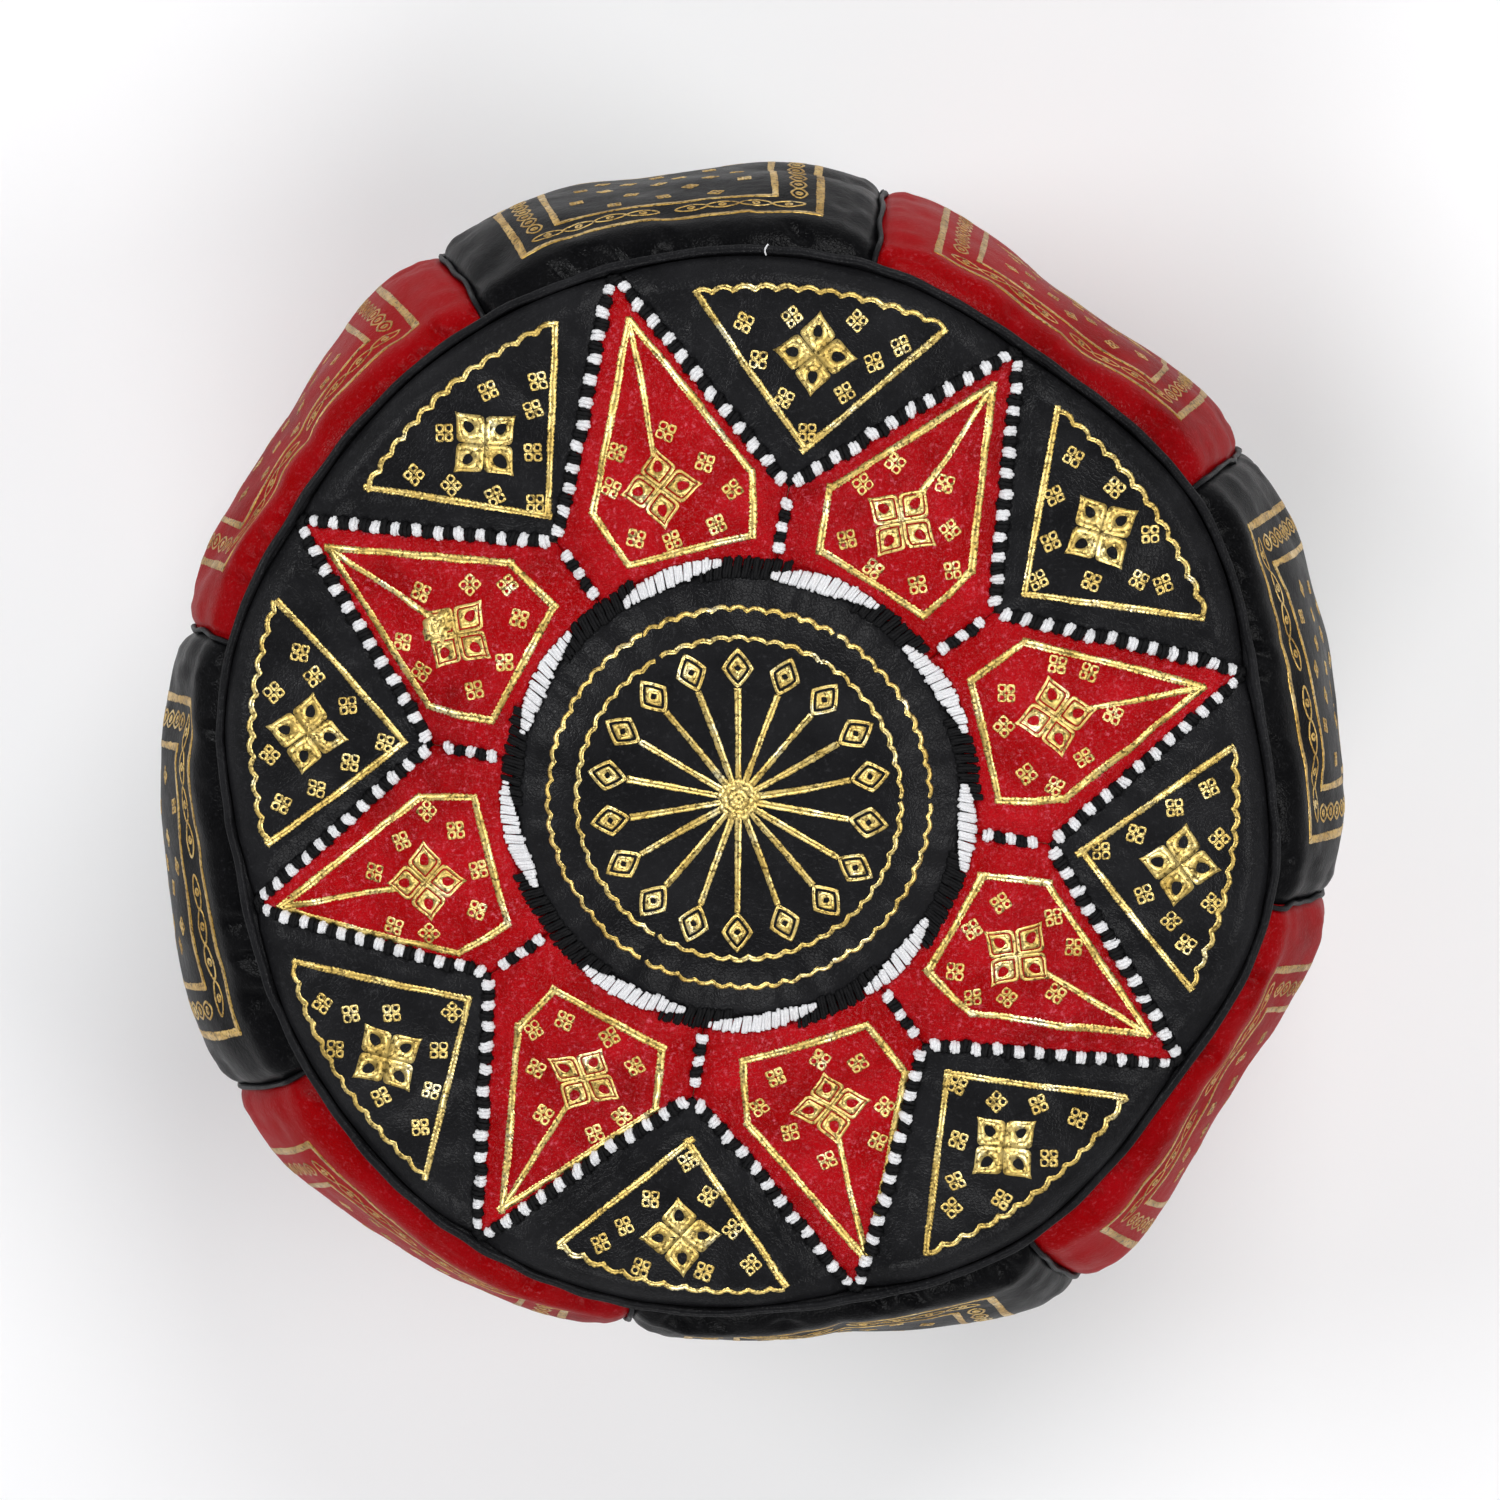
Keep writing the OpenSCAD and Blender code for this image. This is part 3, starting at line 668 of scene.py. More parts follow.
ws = []
for k in range(8):
    s = math.radians(SIDE - 45 * k)
    L = spaced(3.0, LSIDE - 3.0, 1.6); m = 1 + L / LSIDE
    w = waves(40 + k, 8, 16, 70)
    P0 = place(np.full_like(m, s), m, 0.0)
    off = 0.7 * w(P0) / np.hypot(P0[:, 0], P0[:, 1])
    C = place(s + off, m, 1.25)
    N = place(s + off, m, 2.25) - C
    r = 1.2 * (1 + 0.10 * w(P0 + 33)) * smooth(np.minimum(L, LSIDE - L), 0, 8) ** 0.3
    ws.append(tubes(C[None], N[None], r[None], 8, flat=1.35))
V, Q = join(ws)
mesh_piece("side_welts_leather", V, Q, mat=BLACK, slot="black_leather", replaces=["side_welts"])

# ------------------------------------------------------------------ base halves, with the walls of the zip channel
CHAN_Y, CHAN_X, TAPE_Z = 14.0, 174.0, 8.0
QS = np.concatenate([[0.006], spaced(0.014, 0.22, 0.012), spaced(0.235, 1.0, 0.0125)])
for name, node, c, s in (("front", "base_half_front", -PI / 2, -1), ("back", "base_half_back", PI / 2, 1)):
    m = 2 + QS; R = profile(m)[0] + 0 * QS
    keep = R > CHAN_Y + 1.0
    m, R = m[keep], R[keep]
    ha = PI / 2 - np.arcsin((CHAN_Y + 0.3) / R)
    th = c + ha[:, None] * np.linspace(-1, 1, 161)[None, :]
    M = np.broadcast_to(m[:, None], th.shape)
    V, Q = slab(place(th, M, 0.0), place(th, M, -SKIN), flip=True)
    # the turned-in wall beside the zip
    x = np.linspace(-CHAN_X, CHAN_X, 175)
    z = np.linspace(0.9, TAPE_Z, 6)
    X, Z = np.meshgrid(x, z)
    wy = 0.12 * np.sin(X / 11.0) * np.sin(PI * (Z - 0.9) / (TAPE_Z - 0.9))
    a = np.stack([X, s * (CHAN_Y + 0.15) + wy, Z], -1); b = np.stack([X, s * (CHAN_Y + 2.0) + wy, Z], -1)
    wall = slab(a, b, flip=s < 0)
    V, Q = join([(V, Q), wall])
    mesh_piece(f"base_half_{name}_leather", V, Q, mat=BLACK, slot="black_leather", replaces=[node])

parts = []
for c in (0.0, PI):
    m = 2 + np.concatenate([[0.006], spaced(0.014, 0.235, 0.011)])
    R = profile(m)[0]; keep = R > CHAN_X + 0.6; m, R = m[keep], R[keep]
    ha = np.arcsin((CHAN_Y - 0.3) / R)
    th = c + ha[:, None] * np.linspace(-1, 1, 25)[None, :]
    M = np.broadcast_to(m[:, None], th.shape)
    parts.append(slab(place(th, M, 0.0), place(th, M, -SKIN), flip=True))
    y = np.linspace(-CHAN_Y + 0.2, CHAN_Y - 0.2, 15); z = np.linspace(0.9, TAPE_Z, 6)
    Y, Z = np.meshgrid(y, z); sx = 1 if c == 0 else -1
    a = np.stack([np.full_like(Y, sx * (CHAN_X + 0.2)), Y, Z], -1); b = np.stack([np.full_like(Y, sx * (CHAN_X + 2.0)), Y, Z], -1)
    parts.append(slab(a, b, flip=sx > 0))
V, Q = join(parts)
mesh_piece("zip_end_patches_leather", V, Q, mat=BLACK, slot="black_leather", replaces=["zip_end_patches"])

# ------------------------------------------------------------------ canvas backing, inner cushion and stuffing
disc("top_backing_canvas", spaced(1.5, 209.0, 3.4), 220, -2.25, 0.7, CANVAS, "top_backing", "canvas")


def body(name, h, seed, amp, mat, node, slot, raise_z, fill):
    ms = np.concatenate([np.linspace(0.03, 0.955, 26), np.linspace(1.045, 1.955, 40), np.linspace(2.05, 2.97, 34)])
    cols = 224
    th = np.arange(cols) * 2 * PI / cols
    T, M = np.meshgrid(th, ms)
    R = profile(M)[0]
    w = waves(seed, 18, 18, 60)
    P = place(T, M, h, rel=False)
    P = P + (place(T, M, h - 1.0, rel=False) - P) * ((0.5 + 0.5 * w(P)) * amp)[..., None]
    c0 = place(np.array([0.0]), np.array([0.0]), h, rel=False); c1 = place(np.array([0.0]), np.array([3.0]), h, rel=False)
    V = np.concatenate([P.reshape(-1, 3), c0, c1])
    under = V[:, 2] < 60
    lift = (1 - smooth(np.abs(V[:, 1]), 19.5, 34)) * (1 - smooth(np.abs(V[:, 0]), 180.5, 194)) * under
    V[:, 2] = np.maximum(V[:, 2], raise_z * lift)
    n = len(ms) * cols
    j = np.arange(cols); j2 = (j + 1) % cols; last = (len(ms) - 1) * cols
    tri = np.concatenate([np.stack([np.full(cols, n), j, j2], -1), np.stack([np.full(cols, n + 1), last + j2, last + j], -1)])
    o = mesh_piece(name, V, grid_quads(len(ms), cols, wrap=True)[:, ::-1], tri, mat=mat, slot=slot, replaces=[node])
    return o


body("inner_cushion_bag", -6.0, 61, 1.2, COTTON, "inner_bag", "cotton_bag", 13.2, 0.95)
body("inner_stuffing", -8.2, 62, 2.4, WADDING, "filling", "stuffing", 15.6, 0.95)


# ------------------------------------------------------------------ stitches
def chord(P, Q, n):
    t = np.linspace(0, 1, n)[:, None]
    return P + (Q - P) * t


def star_edges():
    """Every star seam as (start, end) in plan, from the ring outwards."""
    out = []
    for a in PETALS:
        c, s = math.cos(a), math.sin(a)
        R2 = np.array([[c, -s], [s, c]])
        for side in (1, -1):
            y = np.array([YJ[0], side * YJ[1]]); tip = np.array([APEX - 1.0, 0.0])
            out.append((R2 @ y, R2 @ tip, "long"))
        j = np.array([math.cos(PI / 8), math.sin(PI / 8)])
        out.append((R2 @ (j * 99.0), R2 @ (j * (FORK - 1.0)), "short"))
    return out


def stitches():
    """Strands lashed across the star seams, white lumps and black lumps in turn."""
    g = np.random.default_rng(77)
    rec = {"w": [], "b": []}
    for P, Q, kind in star_edges():
        u = Q - P; ln = np.linalg.norm(u); u /= ln; v = np.array([-u[1], u[0]])
        n = 12 if kind == "long" else 3
        pitch = (ln - (3.2 if kind == "long" else 1.0)) / n
        s0 = 2.6 if kind == "long" else 1.6
        jj = g.normal(0, 0.22, n)
        for i in range(n):
            c = s0 + pitch * (i + 0.25) + jj[i]
            half_w, half_b = 1.85, 2.1
            taper = 1.0 if kind == "short" else 1.0 - 0.30 * smooth(np.array(i / n), 0.72, 1.0)
            for tag, cc, hw, across in (("w", c, half_w, 4.7), ("b", c + pitch * 0.5, half_b, 5.0)):
                if tag == "b" and i == n - 1 and kind == "short":
                    continue
                m = 3
                lean, shift, size = g.normal(0, 0.14), g.normal(0, 0.25), 1 + g.normal(0, 0.08)
                for q in range(m):
                    o = (q - (m - 1) / 2) * 2 * hw / m + g.normal(0, 0.10)
                    rec[tag].append((P + u * (cc + o), v, across * taper * (1.04 if q == 1 else 0.82) * (1 + g.normal(0, 0.06)), u, lean + g.normal(0, 0.06), shift + g.normal(0, 0.12), (0.96 if tag == "w" else 0.98) * (1 + g.normal(0, 0.07)), (1.0 if q == 1 else 0.88) * size + g.normal(0, 0.05)))
    return rec


def lash(name, rec, mat, slot, node, lift=2.75, k=9, sides=6):
    C0 = np.array([r[0] for r in rec]); D = np.array([r[1] for r in rec]); A = np.array([r[2] for r in rec])
    U = np.array([r[3] for r in rec]); tilt = np.array([r[4] for r in rec]); sh = np.array([r[5] for r in rec])
    R = np.array([r[6] for r in rec]); hs = np.array([r[7] for r in rec])
    t = np.linspace(-1, 1, k)
    xy = C0[:, None] + D[:, None] * (t[None, :, None] * A[:, None, None] / 2 + sh[:, None, None]) + U[:, None] * (tilt[:, None, None] * t[None, :, None] * A[:, None, None] / 2)
    h = -0.75 + (lift + 0.75) * hs[:, None] * np.sqrt(np.clip(1 - np.abs(t) ** 2.1, 0, 1))[None, :]
    C = plan(xy[..., 0], xy[..., 1], h)
    N = plan(xy[..., 0], xy[..., 1], h + 1.0) - C
    r = R[:, None] * (1 + 0.15 * np.sin(t[None, :] * 5.5 + A[:, None] * 90))
    V, Q = tubes(C, N, r, sides)
    return V, Q


REC = stitches()
for tag, mat, sl, node in (("w", WHITE_T, "white_thread", "star_thread_white"), ("b", BLACK_T, "black_thread", "star_thread_black")):
    V, Q = lash(node, REC[tag], mat, sl, node)
    mesh_piece(node + "_stitches", V, Q, mat=mat, slot=sl, replaces=[node])


def ring_stitches():
    """Radial strands over the medallion's seam, in lumps of three; white ones in crescents."""
    g = np.random.default_rng(78)
    mids = np.radians(np.array([108, 68, 29.5, -7.5, -45.5, -84, -118, -169.6, 150.0]))
    spans = np.radians(np.array([27.5, 27.5, 26.5, 22.5, 24.5, 27.5, 27.5, 27.5, 27.5]))
    lumps = 147
    black, white = [], []
    for i in range(lumps):
        for q in range(3):
            a = 2 * PI * (i + (q - 1) * 0.265 + g.normal(0, 0.02)) / lumps
            d = np.array([math.cos(a), math.sin(a)]); u = np.array([-d[1], d[0]])
            cover = 0.0
            for c, wide in zip(mids, spans):
                e = (a - c + PI) % (2 * PI) - PI
                f = 0.5 - e / wide       # 0 at the counter-clockwise end
                if 0.0 < f < 1.0:
                    ln = (1.5 + 6.0 * math.sin(PI * f) ** 0.85) * (1 + g.normal(0, 0.07))
                    rc = 91.4 + 4.6 * f + 0.25 * g.normal()
                    cover = max(cover, ln)
                    off = 1 if rc < 93.6 else -1
                    white.append((d * rc, d, ln, u, -0.16 + g.normal(0, 0.05), 0.0, 0.82 * (1 + g.normal(0, 0.06)), (1.0 if q == 1 else 0.55) + g.normal(0, 0.08)))
            if cover < 5.2:              # black strands fill whatever the white ones leave
                blen = 8.8 * (1 + g.normal(0, 0.05)) - 0.75 * cover
                black.append((d * (93.6 + (off * cover * 0.5 if cover else 0.0)), d, blen, u, -0.16 + g.normal(0, 0.04), g.normal(0, 0.2), 0.80 * (1 + g.normal(0, 0.06)), (1.05 if q == 1 else 0.80) + g.normal(0, 0.04)))
    return black, white


rb, rw = ring_stitches()
V, Q = lash("ring", rb, BLACK_T, "black_thread", None, lift=2.2)
mesh_piece("medallion_thread_black_stitches", V, Q, mat=BLACK_T, slot="black_thread", replaces=["medallion_thread_black"])


def lash_over(rec, base=1.5, lift=1.35):
    C0 = np.array([r[0] for r in rec]); D = np.array([r[1] for r in rec]); A = np.array([r[2] for r in rec])
    U = np.array([r[3] for r in rec]); tilt = np.array([r[4] for r in rec]); R = np.array([r[6] for r in rec]); hs = np.array([r[7] for r in rec])
    t = np.linspace(-1, 1, 9)
    xy = C0[:, None] + D[:, None] * (t[None, :, None] * A[:, None, None] / 2) + U[:, None] * (tilt[:, None, None] * t[None, :, None] * A[:, None, None] / 2)
    rho = np.hypot(xy[..., 0], xy[..., 1])
    under = -0.55 + 2.75 * np.sqrt(np.clip(1 - np.abs((rho - 93.6) / 4.9) ** 2.3, 0, 1))
    h = under - 0.35 + (0.75 + 0.35) * hs[:, None] * np.sqrt(np.clip(1 - np.abs(t) ** 3, 0, 1))[None, :]
    C = plan(xy[..., 0], xy[..., 1], h); N = plan(xy[..., 0], xy[..., 1], h + 1.0) - C
    return tubes(C, N, R[:, None] * np.ones((1, 9)), 6)


V, Q = lash_over(rw)
mesh_piece("medallion_thread_white_stitches", V, Q, mat=WHITE_T, slot="white_thread", replaces=["medallion_thread_white"])


# ------------------------------------------------------------------ gold tooling
HG, HB = 0.13, -0.12                     # the leaf's top, and its hidden underside


def on_top(a):
    """Chart of the top: x along the direction a (radians), y to its left, both in mm from the centre."""
    c, s = math.cos(a), math.sin(a)
    def chart(x, y, h):
        X, Y = c * x - s * y, s * x + c * y
        th, rho = np.arctan2(Y, X), np.hypot(X, Y)
        rad, tan = shape_field(th, np.minimum(rho / RS, 0.999))
        return place(th - tan / np.maximum(rho, 20), np.minimum((rho - rad) / RS, 0.985), h)
    return chart


def on_side(a):
    """Chart of a side panel: x in degrees from its middle line, y in mm down from the top seam."""
    return lambda x, y, h: place(a + np.radians(x), 1 + np.clip(y, 0.5, LSIDE - 0.5) / LSIDE, h)


def ribbon(chart, pts, width, seed, pitch=1.7, jag=0.28, step=0.8, closed=False, sx=None, gaps=0.0, lump=0.0):
    """A tooled line: a thin closed strip along pts with jagged edges. sx(y) turns mm to chart x, for a side."""
    pts = np.asarray(pts, float)
    if closed:
        pts = np.concatenate([pts, pts[:1]])
    mm = pts if sx is None else np.stack([pts[:, 0] * sx(pts[:, 1]), pts[:, 1]], -1)
    d = np.hypot(*np.diff(mm, axis=0).T); s = np.concatenate([[0], np.cumsum(d)])
    n = max(3, int(round(s[-1] / step)) + 1)
    t = np.linspace(0, s[-1], n)
    P = np.stack([np.interp(t, s, mm[:, 0]), np.interp(t, s, mm[:, 1])], -1)
    T = np.gradient(P, axis=0); T /= np.linalg.norm(T, axis=1, keepdims=True) + 1e-9
    Nn = np.stack([-T[:, 1], T[:, 0]], -1)
    g = np.random.default_rng(seed)
    ph = g.uniform(0, 6)
    w = width / 2 * (1 + 0.10 * np.sin(t / 9.0 + ph) + 0.06 * g.normal(size=n))
    saw = ((t / pitch + ph) % 1.0)
    l = w + jag * (saw - 0.5) + 0.05 * g.normal(size=n); r = w + jag * (((t / pitch + ph + 0.5) % 1.0) - 0.5) + 0.05 * g.normal(size=n)
    Lp, Rp = P + Nn * l[:, None], P - Nn * r[:, None]
    def ch(A, h):
        x = A[:, 0] if sx is None else A[:, 0] / sx(A[:, 1])
        return chart(x, A[:, 1], h)
    top = np.stack([ch(Lp, HG * 0.8), ch(P, HG), ch(Rp, HG * 0.8)], 1)
    bot = np.stack([ch(Lp, HB), ch(P, HB), ch(Rp, HB)], 1)
    V, Q = slab(top, bot, flip=True)
    return V, Q


def annuli(chart, outer, inner, h=HG):
    """Closed flat rings from outer and inner contours (count, points, 2) in a chart."""
    n, k, _ = outer.shape
    o1, i1 = chart(outer[..., 0], outer[..., 1], h), chart(inner[..., 0], inner[..., 1], h)
    o0, i0 = chart(outer[..., 0], outer[..., 1], HB), chart(inner[..., 0], inner[..., 1], HB)
    V = np.stack([o1, i1, i0, o0], 1)    # n, 4, k, 3
    j = np.arange(k); j2 = (j + 1) % k
    q = np.concatenate([np.stack([a * k + j, a * k + j2, b * k + j2, b * k + j], -1) for a, b in ((0, 1), (1, 2), (2, 3), (3, 0))])
    Q = (q[None] + (np.arange(n) * 4 * k)[:, None, None]).reshape(-1, 4)
    return V.reshape(-1, 3), Q


def resampled(pts, k):
    """A closed outline through pts, as k points evenly spaced."""
    p = np.array(list(pts) + [pts[0]], float)
    d = np.concatenate([[0], np.cumsum(np.hypot(*np.diff(p, axis=0).T))])
    t = np.linspace(0, d[-1], k, endpoint=False)
    return np.stack([np.interp(t, d, p[:, 0]), np.interp(t, d, p[:, 1])], -1)


HALF_CELL = [(0.004, 0.004), (0.40, 0.004), (0.72, 0.008), (0.90, 0.040), (0.97, 0.13), (0.985, 0.50), (0.995, 0.82)]
CELL = resampled(HALF_CELL + [(1.05, 1.05)] + [(y, x) for x, y in HALF_CELL[:0:-1]], 44)
MID = np.array([0.54, 0.54])


def drop(k, a, b):
    """An oval hole with a point towards the lobe's tip, in the lobe's own frame."""
    t = np.arange(k) * 2 * PI / k
    u, v = a * np.cos(t) * (1 + 0.22 * np.cos(t) ** 3), b * np.sin(t)
    q = math.sqrt(0.5)
    return np.roll(np.stack([(u - v) * q, (u + v) * q], -1), 0, axis=0)


def flower(chart, x, y, size, turn, style, g, scale_x=1.0):
    """Four lobes with holes, size across the square. style is double, solid or small."""
    outs, ins = [], []
    cell = size / 2
    for q in range(4):
        an = turn + q * PI / 2
        c, s = math.cos(an), math.sin(an)
        j = g.normal(0, 0.005, 2)
        def put(p):
            p = (p + j) * cell
            return np.stack([x + (c * p[:, 0] - s * p[:, 1]) * scale_x, y + s * p[:, 0] + c * p[:, 1]], -1)
        k = len(CELL)
        def match(p):
            # start the inner outline at the same direction as the outer one
            a0 = np.arctan2(*(CELL[0] - MID)[::-1]); a = np.arctan2(p[:, 1], p[:, 0])
            return np.roll(p, -int(np.argmin(np.abs((a - a0 + PI) % (2 * PI) - PI))), axis=0)
        if style == "double":
            outs.append(put(CELL)); ins.append(put(MID + (CELL - MID) * 0.79))
            outs.append(put(MID + (CELL - MID) * 0.69)); ins.append(put(MID + match(drop(k, 0.215, 0.165))))
        elif style == "solid":
            outs.append(put(CELL)); ins.append(put(MID + match(drop(k, 0.22, 0.17)) * (1 + g.normal(0, 0.08))))
        else:
            t = np.arange(k) * 2 * PI / k
            o = np.stack([np.cos(t), np.sin(t)], -1)
            o = o * (0.53 + 0.05 * np.cos(4 * t + PI))[:, None]
            outs.append(put(MID * 0.93 + o)); ins.append(put(MID * 0.95 + np.stack([np.cos(t), np.sin(t)], -1) * 0.245 * (1 + g.normal(0, 0.12))))
    return annuli(chart, np.array(outs), np.array(ins))


PETAL_SMALL = [(151, -5), (148, 17), (136, -17.5), (135, 24), (122, -26.5), (111.5, 16.5), (107, 2), (111, -17)]
TRI_SMALL = [(151, 0), (165, 9.3), (170, -13.7), (178, 21.8), (184, -24), (191, 31.2), (192, -32.6), (197, 11.3), (199, -13.7)]


# each stamp was set by hand, so each panel's tooling sits a little differently: offsets in mm of the apex,
# the first shoulder and bottom, the second bottom and shoulder, and the big flower
PETAL_SET = [((2, -1), (1, -2), (2, -4), (2, -4), (3, -2), (0.5, 0.5)),
             ((-2, -0.5), (-0.5, 1.5), (1, -1), (-0.5, 2), (1, 2.5), (0, 1.5)),
             ((-4, 0), (0.5, 1), (0, -2), (0.5, 2), (2, 2.5), (2.5, 1.5)),
             ((-2, 3.5), (-0.5, 1.5), (1, -1), (2.5, 6), (3.5, 8), (2, 2.5)),
             ((6, 4.5), (2.5, 5.5), (2, 3), (5, 2.5), (8.5, 4.5), (5.5, 4)),
             ((6, 5), (5.5, 3), (4.5, -1), (7, 1.5), (5.5, 5.5), (6.5, 3.5)),
             ((0.5, 3.5), (3.5, 4.5), (4.5, 3), (3.5, 2), (3.5, 4.5), (4, 3.5)),
             ((0, 5), (2, 4), (0.5, 1.5), (2.5, 0), (3.5, 2.5), (3, 3.5))]
# the inner corner, the two outer corners and the big flower of each triangle
TRI_SET = [((3, -4), (3, -2.5), (4.5, -0.5), (0.5, -2)), ((2, -2), (0.5, -1), (0, 1), (1, 0)),
           ((1, 1), (-0.5, -1.5), (-1.5, 2), (1, 1.5)), ((3, 1), (-1.5, 2), (4, 2), (1.0, 1.6)),
           ((6, 0.5), (7, -2.5), (4, 6.5), (5.5, 3.5)), ((0, 3), (6, 1), (-3, 0.5), (2, 3.5)),
           ((-1.5, 1), (-5, -1), (4.5, 5), (-2, 4)), ((-2.5, -3), (-5.5, -1.5), (3.5, 0.5), (-5, 0.5))]

# how far each big flower is turned from its panel's axis, in degrees
PETAL_TURN = [-9, -2, -4, -5, -9, 2, -5, -4]
TRI_TURN = [0, -3, -8, 14, 10, -6, 1, 11]


def jitter(g, p, s):
    return np.array(p, float) + g.normal(0, s, np.shape(p))


def clear_of(q, corners, gap, closed=True):
    """q moved sideways until it is at least gap mm inside each line through the corners in turn."""
    q, mid = np.array(q, float), np.mean(corners, 0)
    for _ in range(3):
        for A, B in zip(corners, list(corners[1:]) + [corners[0]] * closed):
            n = np.array([A[1] - B[1], B[0] - A[0]]) / np.linalg.norm(B - A)
            n = n if (mid - A) @ n > 0 else -n
            q = q + n * max(0.0, gap - (q - A) @ n)
    return q


for k, a in enumerate(PETALS):
    g = np.random.default_rng(200 + k)
    ch = on_top(a)
    dx, dy, sk = g.normal(0, 0.7), g.normal(0, 0.9), g.normal(0, 0.012)
    apex, s1, s2, b1, b2 = np.array([197.0, 0]), np.array([125.5, 33.5]), np.array([125.5, -33.5]), np.array([101, 26.0]), np.array([101, -26.0])
    pent = [p + jitter(g, (dx, dy), 0.5) + np.array(f) for p, f in zip((apex, s1, b1, b2, s2), PETAL_SET[k])]
    fx, fy = PETAL_SET[k][5]
    parts = []
    for i, (p, q) in enumerate(((0, 1), (1, 2), (2, 3), (3, 4), (4, 0))):
        A, B = pent[p], pent[q]; u = (B - A) / np.linalg.norm(B - A)
        over = 0.6 + 0.7 * abs(g.normal())
        parts.append(ribbon(ch, [A - u * over, (A + B) / 2 + jitter(g, (0, 0), 0.25), B + u * over], 2.9, 300 + k * 7 + i, jag=0.62, step=0.55))
    parts.append(ribbon(ch, [pent[0] + (-1.5, 0), (165 + fx, dy + 0.4 + (fy + PETAL_SET[k][0][1]) / 2), (142.5 + fx, 1.5 + dy + fy)], 2.4, 360 + k, jag=0.6, step=0.55))
    dx, dy = dx + fx, dy + fy
    big = (129 + dx, 1.5 + dy)
    parts.append(flower(ch, big[0], big[1], 23.0, PI / 4 + g.normal(0, 0.08) + math.radians(PETAL_TURN[k]), "double", g))
    for p in PETAL_SMALL:
        q = clear_of(jitter(g, p, 0.55) + (dx, dy), pent, 5.4)
        parts.append(flower(ch, q[0], q[1], 7.2, g.uniform(0, 1.57), "small", g))
    if k == 7:                           # leaf that was pressed on too thickly, where the stem meets the flower
        t = np.arange(60) * 2 * PI / 60
        r = 1 + 0.13 * np.sin(3 * t + 0.6) + 0.10 * np.sin(5 * t + 2.0) + 0.06 * np.sin(11 * t)
        blot = np.stack([5.6 * r * np.cos(t), 7.4 * r * np.sin(t)], -1)
        at = np.array([137.2 + dx, 3.6 + dy])
        parts.append(annuli(ch, (at + blot)[None], (at + blot * 0.03)[None], HG * 1.5))
    V, Q = join(parts)
    mesh_piece(f"star_petal_{k+1}_gold", V, Q, mat=GOLD, slot="gold_leaf")

    # triangle
    g = np.random.default_rng(240 + k)
    ch = on_top(a - PI / 8)
    dx, dy = g.normal(0, 0.6), g.normal(0, 0.7)
    inner, o1, o2 = np.array([141.0 + dx, dy]), np.array([195.0, 52.0]), np.array([195.0, -52.0])
    parts = []
    inner = inner + np.array(TRI_SET[k][0])
    for i, e in enumerate((o1, o2)):
        e = jitter(g, e, 0.6) + np.array(TRI_SET[k][1 + i]); u = (e - inner) / np.linalg.norm(e - inner)
        parts.append(ribbon(ch, [inner - u * (0.8 + abs(g.normal())), (inner + e) / 2 + jitter(g, (0, 0), 0.3), e + u * 1.2], 2.6, 420 + k * 7 + i, jag=0.55, step=0.55))
    dx, dy = dx + TRI_SET[k][3][0], dy + TRI_SET[k][3][1]
    e1, e2 = o1 + np.array(TRI_SET[k][1]), o2 + np.array(TRI_SET[k][2])
    an = np.linspace(math.degrees(math.atan2(e2[1], e2[0])), math.degrees(math.atan2(e1[1], e1[0])), 260)
    sc = 1.9 * np.abs(np.sin(np.radians(an) * 203 / 8.6 * PI)) ** 0.8
    rr = np.interp(an, [an[0], 0, an[-1]], [np.hypot(*e2), (np.hypot(*e1) + np.hypot(*e2)) / 2 + 0.6, np.hypot(*e1)]) - 0.6 + sc
    parts.append(ribbon(ch, np.stack([rr * np.cos(np.radians(an)), rr * np.sin(np.radians(an))], -1), 1.9, 430 + k, jag=0.3, step=0.6))
    parts.append(flower(ch, 181.0 + dx, dy, 23.0, PI / 4 + g.normal(0, 0.10) + math.radians(TRI_TURN[k]), "solid", g))
    for p in TRI_SMALL:
        q = clear_of(jitter(g, p, 0.55) + (dx - 2.5, dy), [e1, inner, e2], 4.3, closed=False)
        parts.append(flower(ch, q[0], q[1], 7.2, g.uniform(0, 1.57), "small", g))
    V, Q = join(parts)
    mesh_piece(f"top_triangle_{k+1}_gold", V, Q, mat=GOLD, slot="gold_leaf")

# medallion
g = np.random.default_rng(500)
parts = []
for i in range(18):
    an = math.radians(90 + 20 * i + g.normal(0, 0.5))
    ch = on_top(an)
    end = 45.5 + g.normal(0, 0.5)
    parts.append(ribbon(ch, [(7.0, 0), (26, g.normal(0, 0.2)), (end, 0)], 2.55, 510 + i, jag=0.22))
    c = end + 8.0; t = np.arange(24) * 2 * PI / 24
    def dia(lx, ly):
        cc, ss = np.cos(t), np.sin(t)
        r = 1 / (np.abs(cc) ** 1.12 + np.abs(ss) ** 1.12) ** (1 / 1.12)
        return np.stack([c + lx * r * cc, ly * r * ss], -1)
    parts.append(annuli(ch, np.array([dia(8.3, 6.5), dia(4.9, 3.7)]), np.array([dia(6.5, 4.9), dia(1.3, 1.5)])))
ch = on_top(0.0)
t = np.arange(48) * 2 * PI / 48
blob = np.stack([np.cos(t), np.sin(t)], -1) * (8.2 + 0.8 * np.sin(9 * t) + 0.3 * np.sin(5 * t + 1))[:, None]
parts.append(annuli(ch, np.array([blob, blob * 0.5]), np.array([blob * 0.52, blob * 0.03]), HG * 1.3))
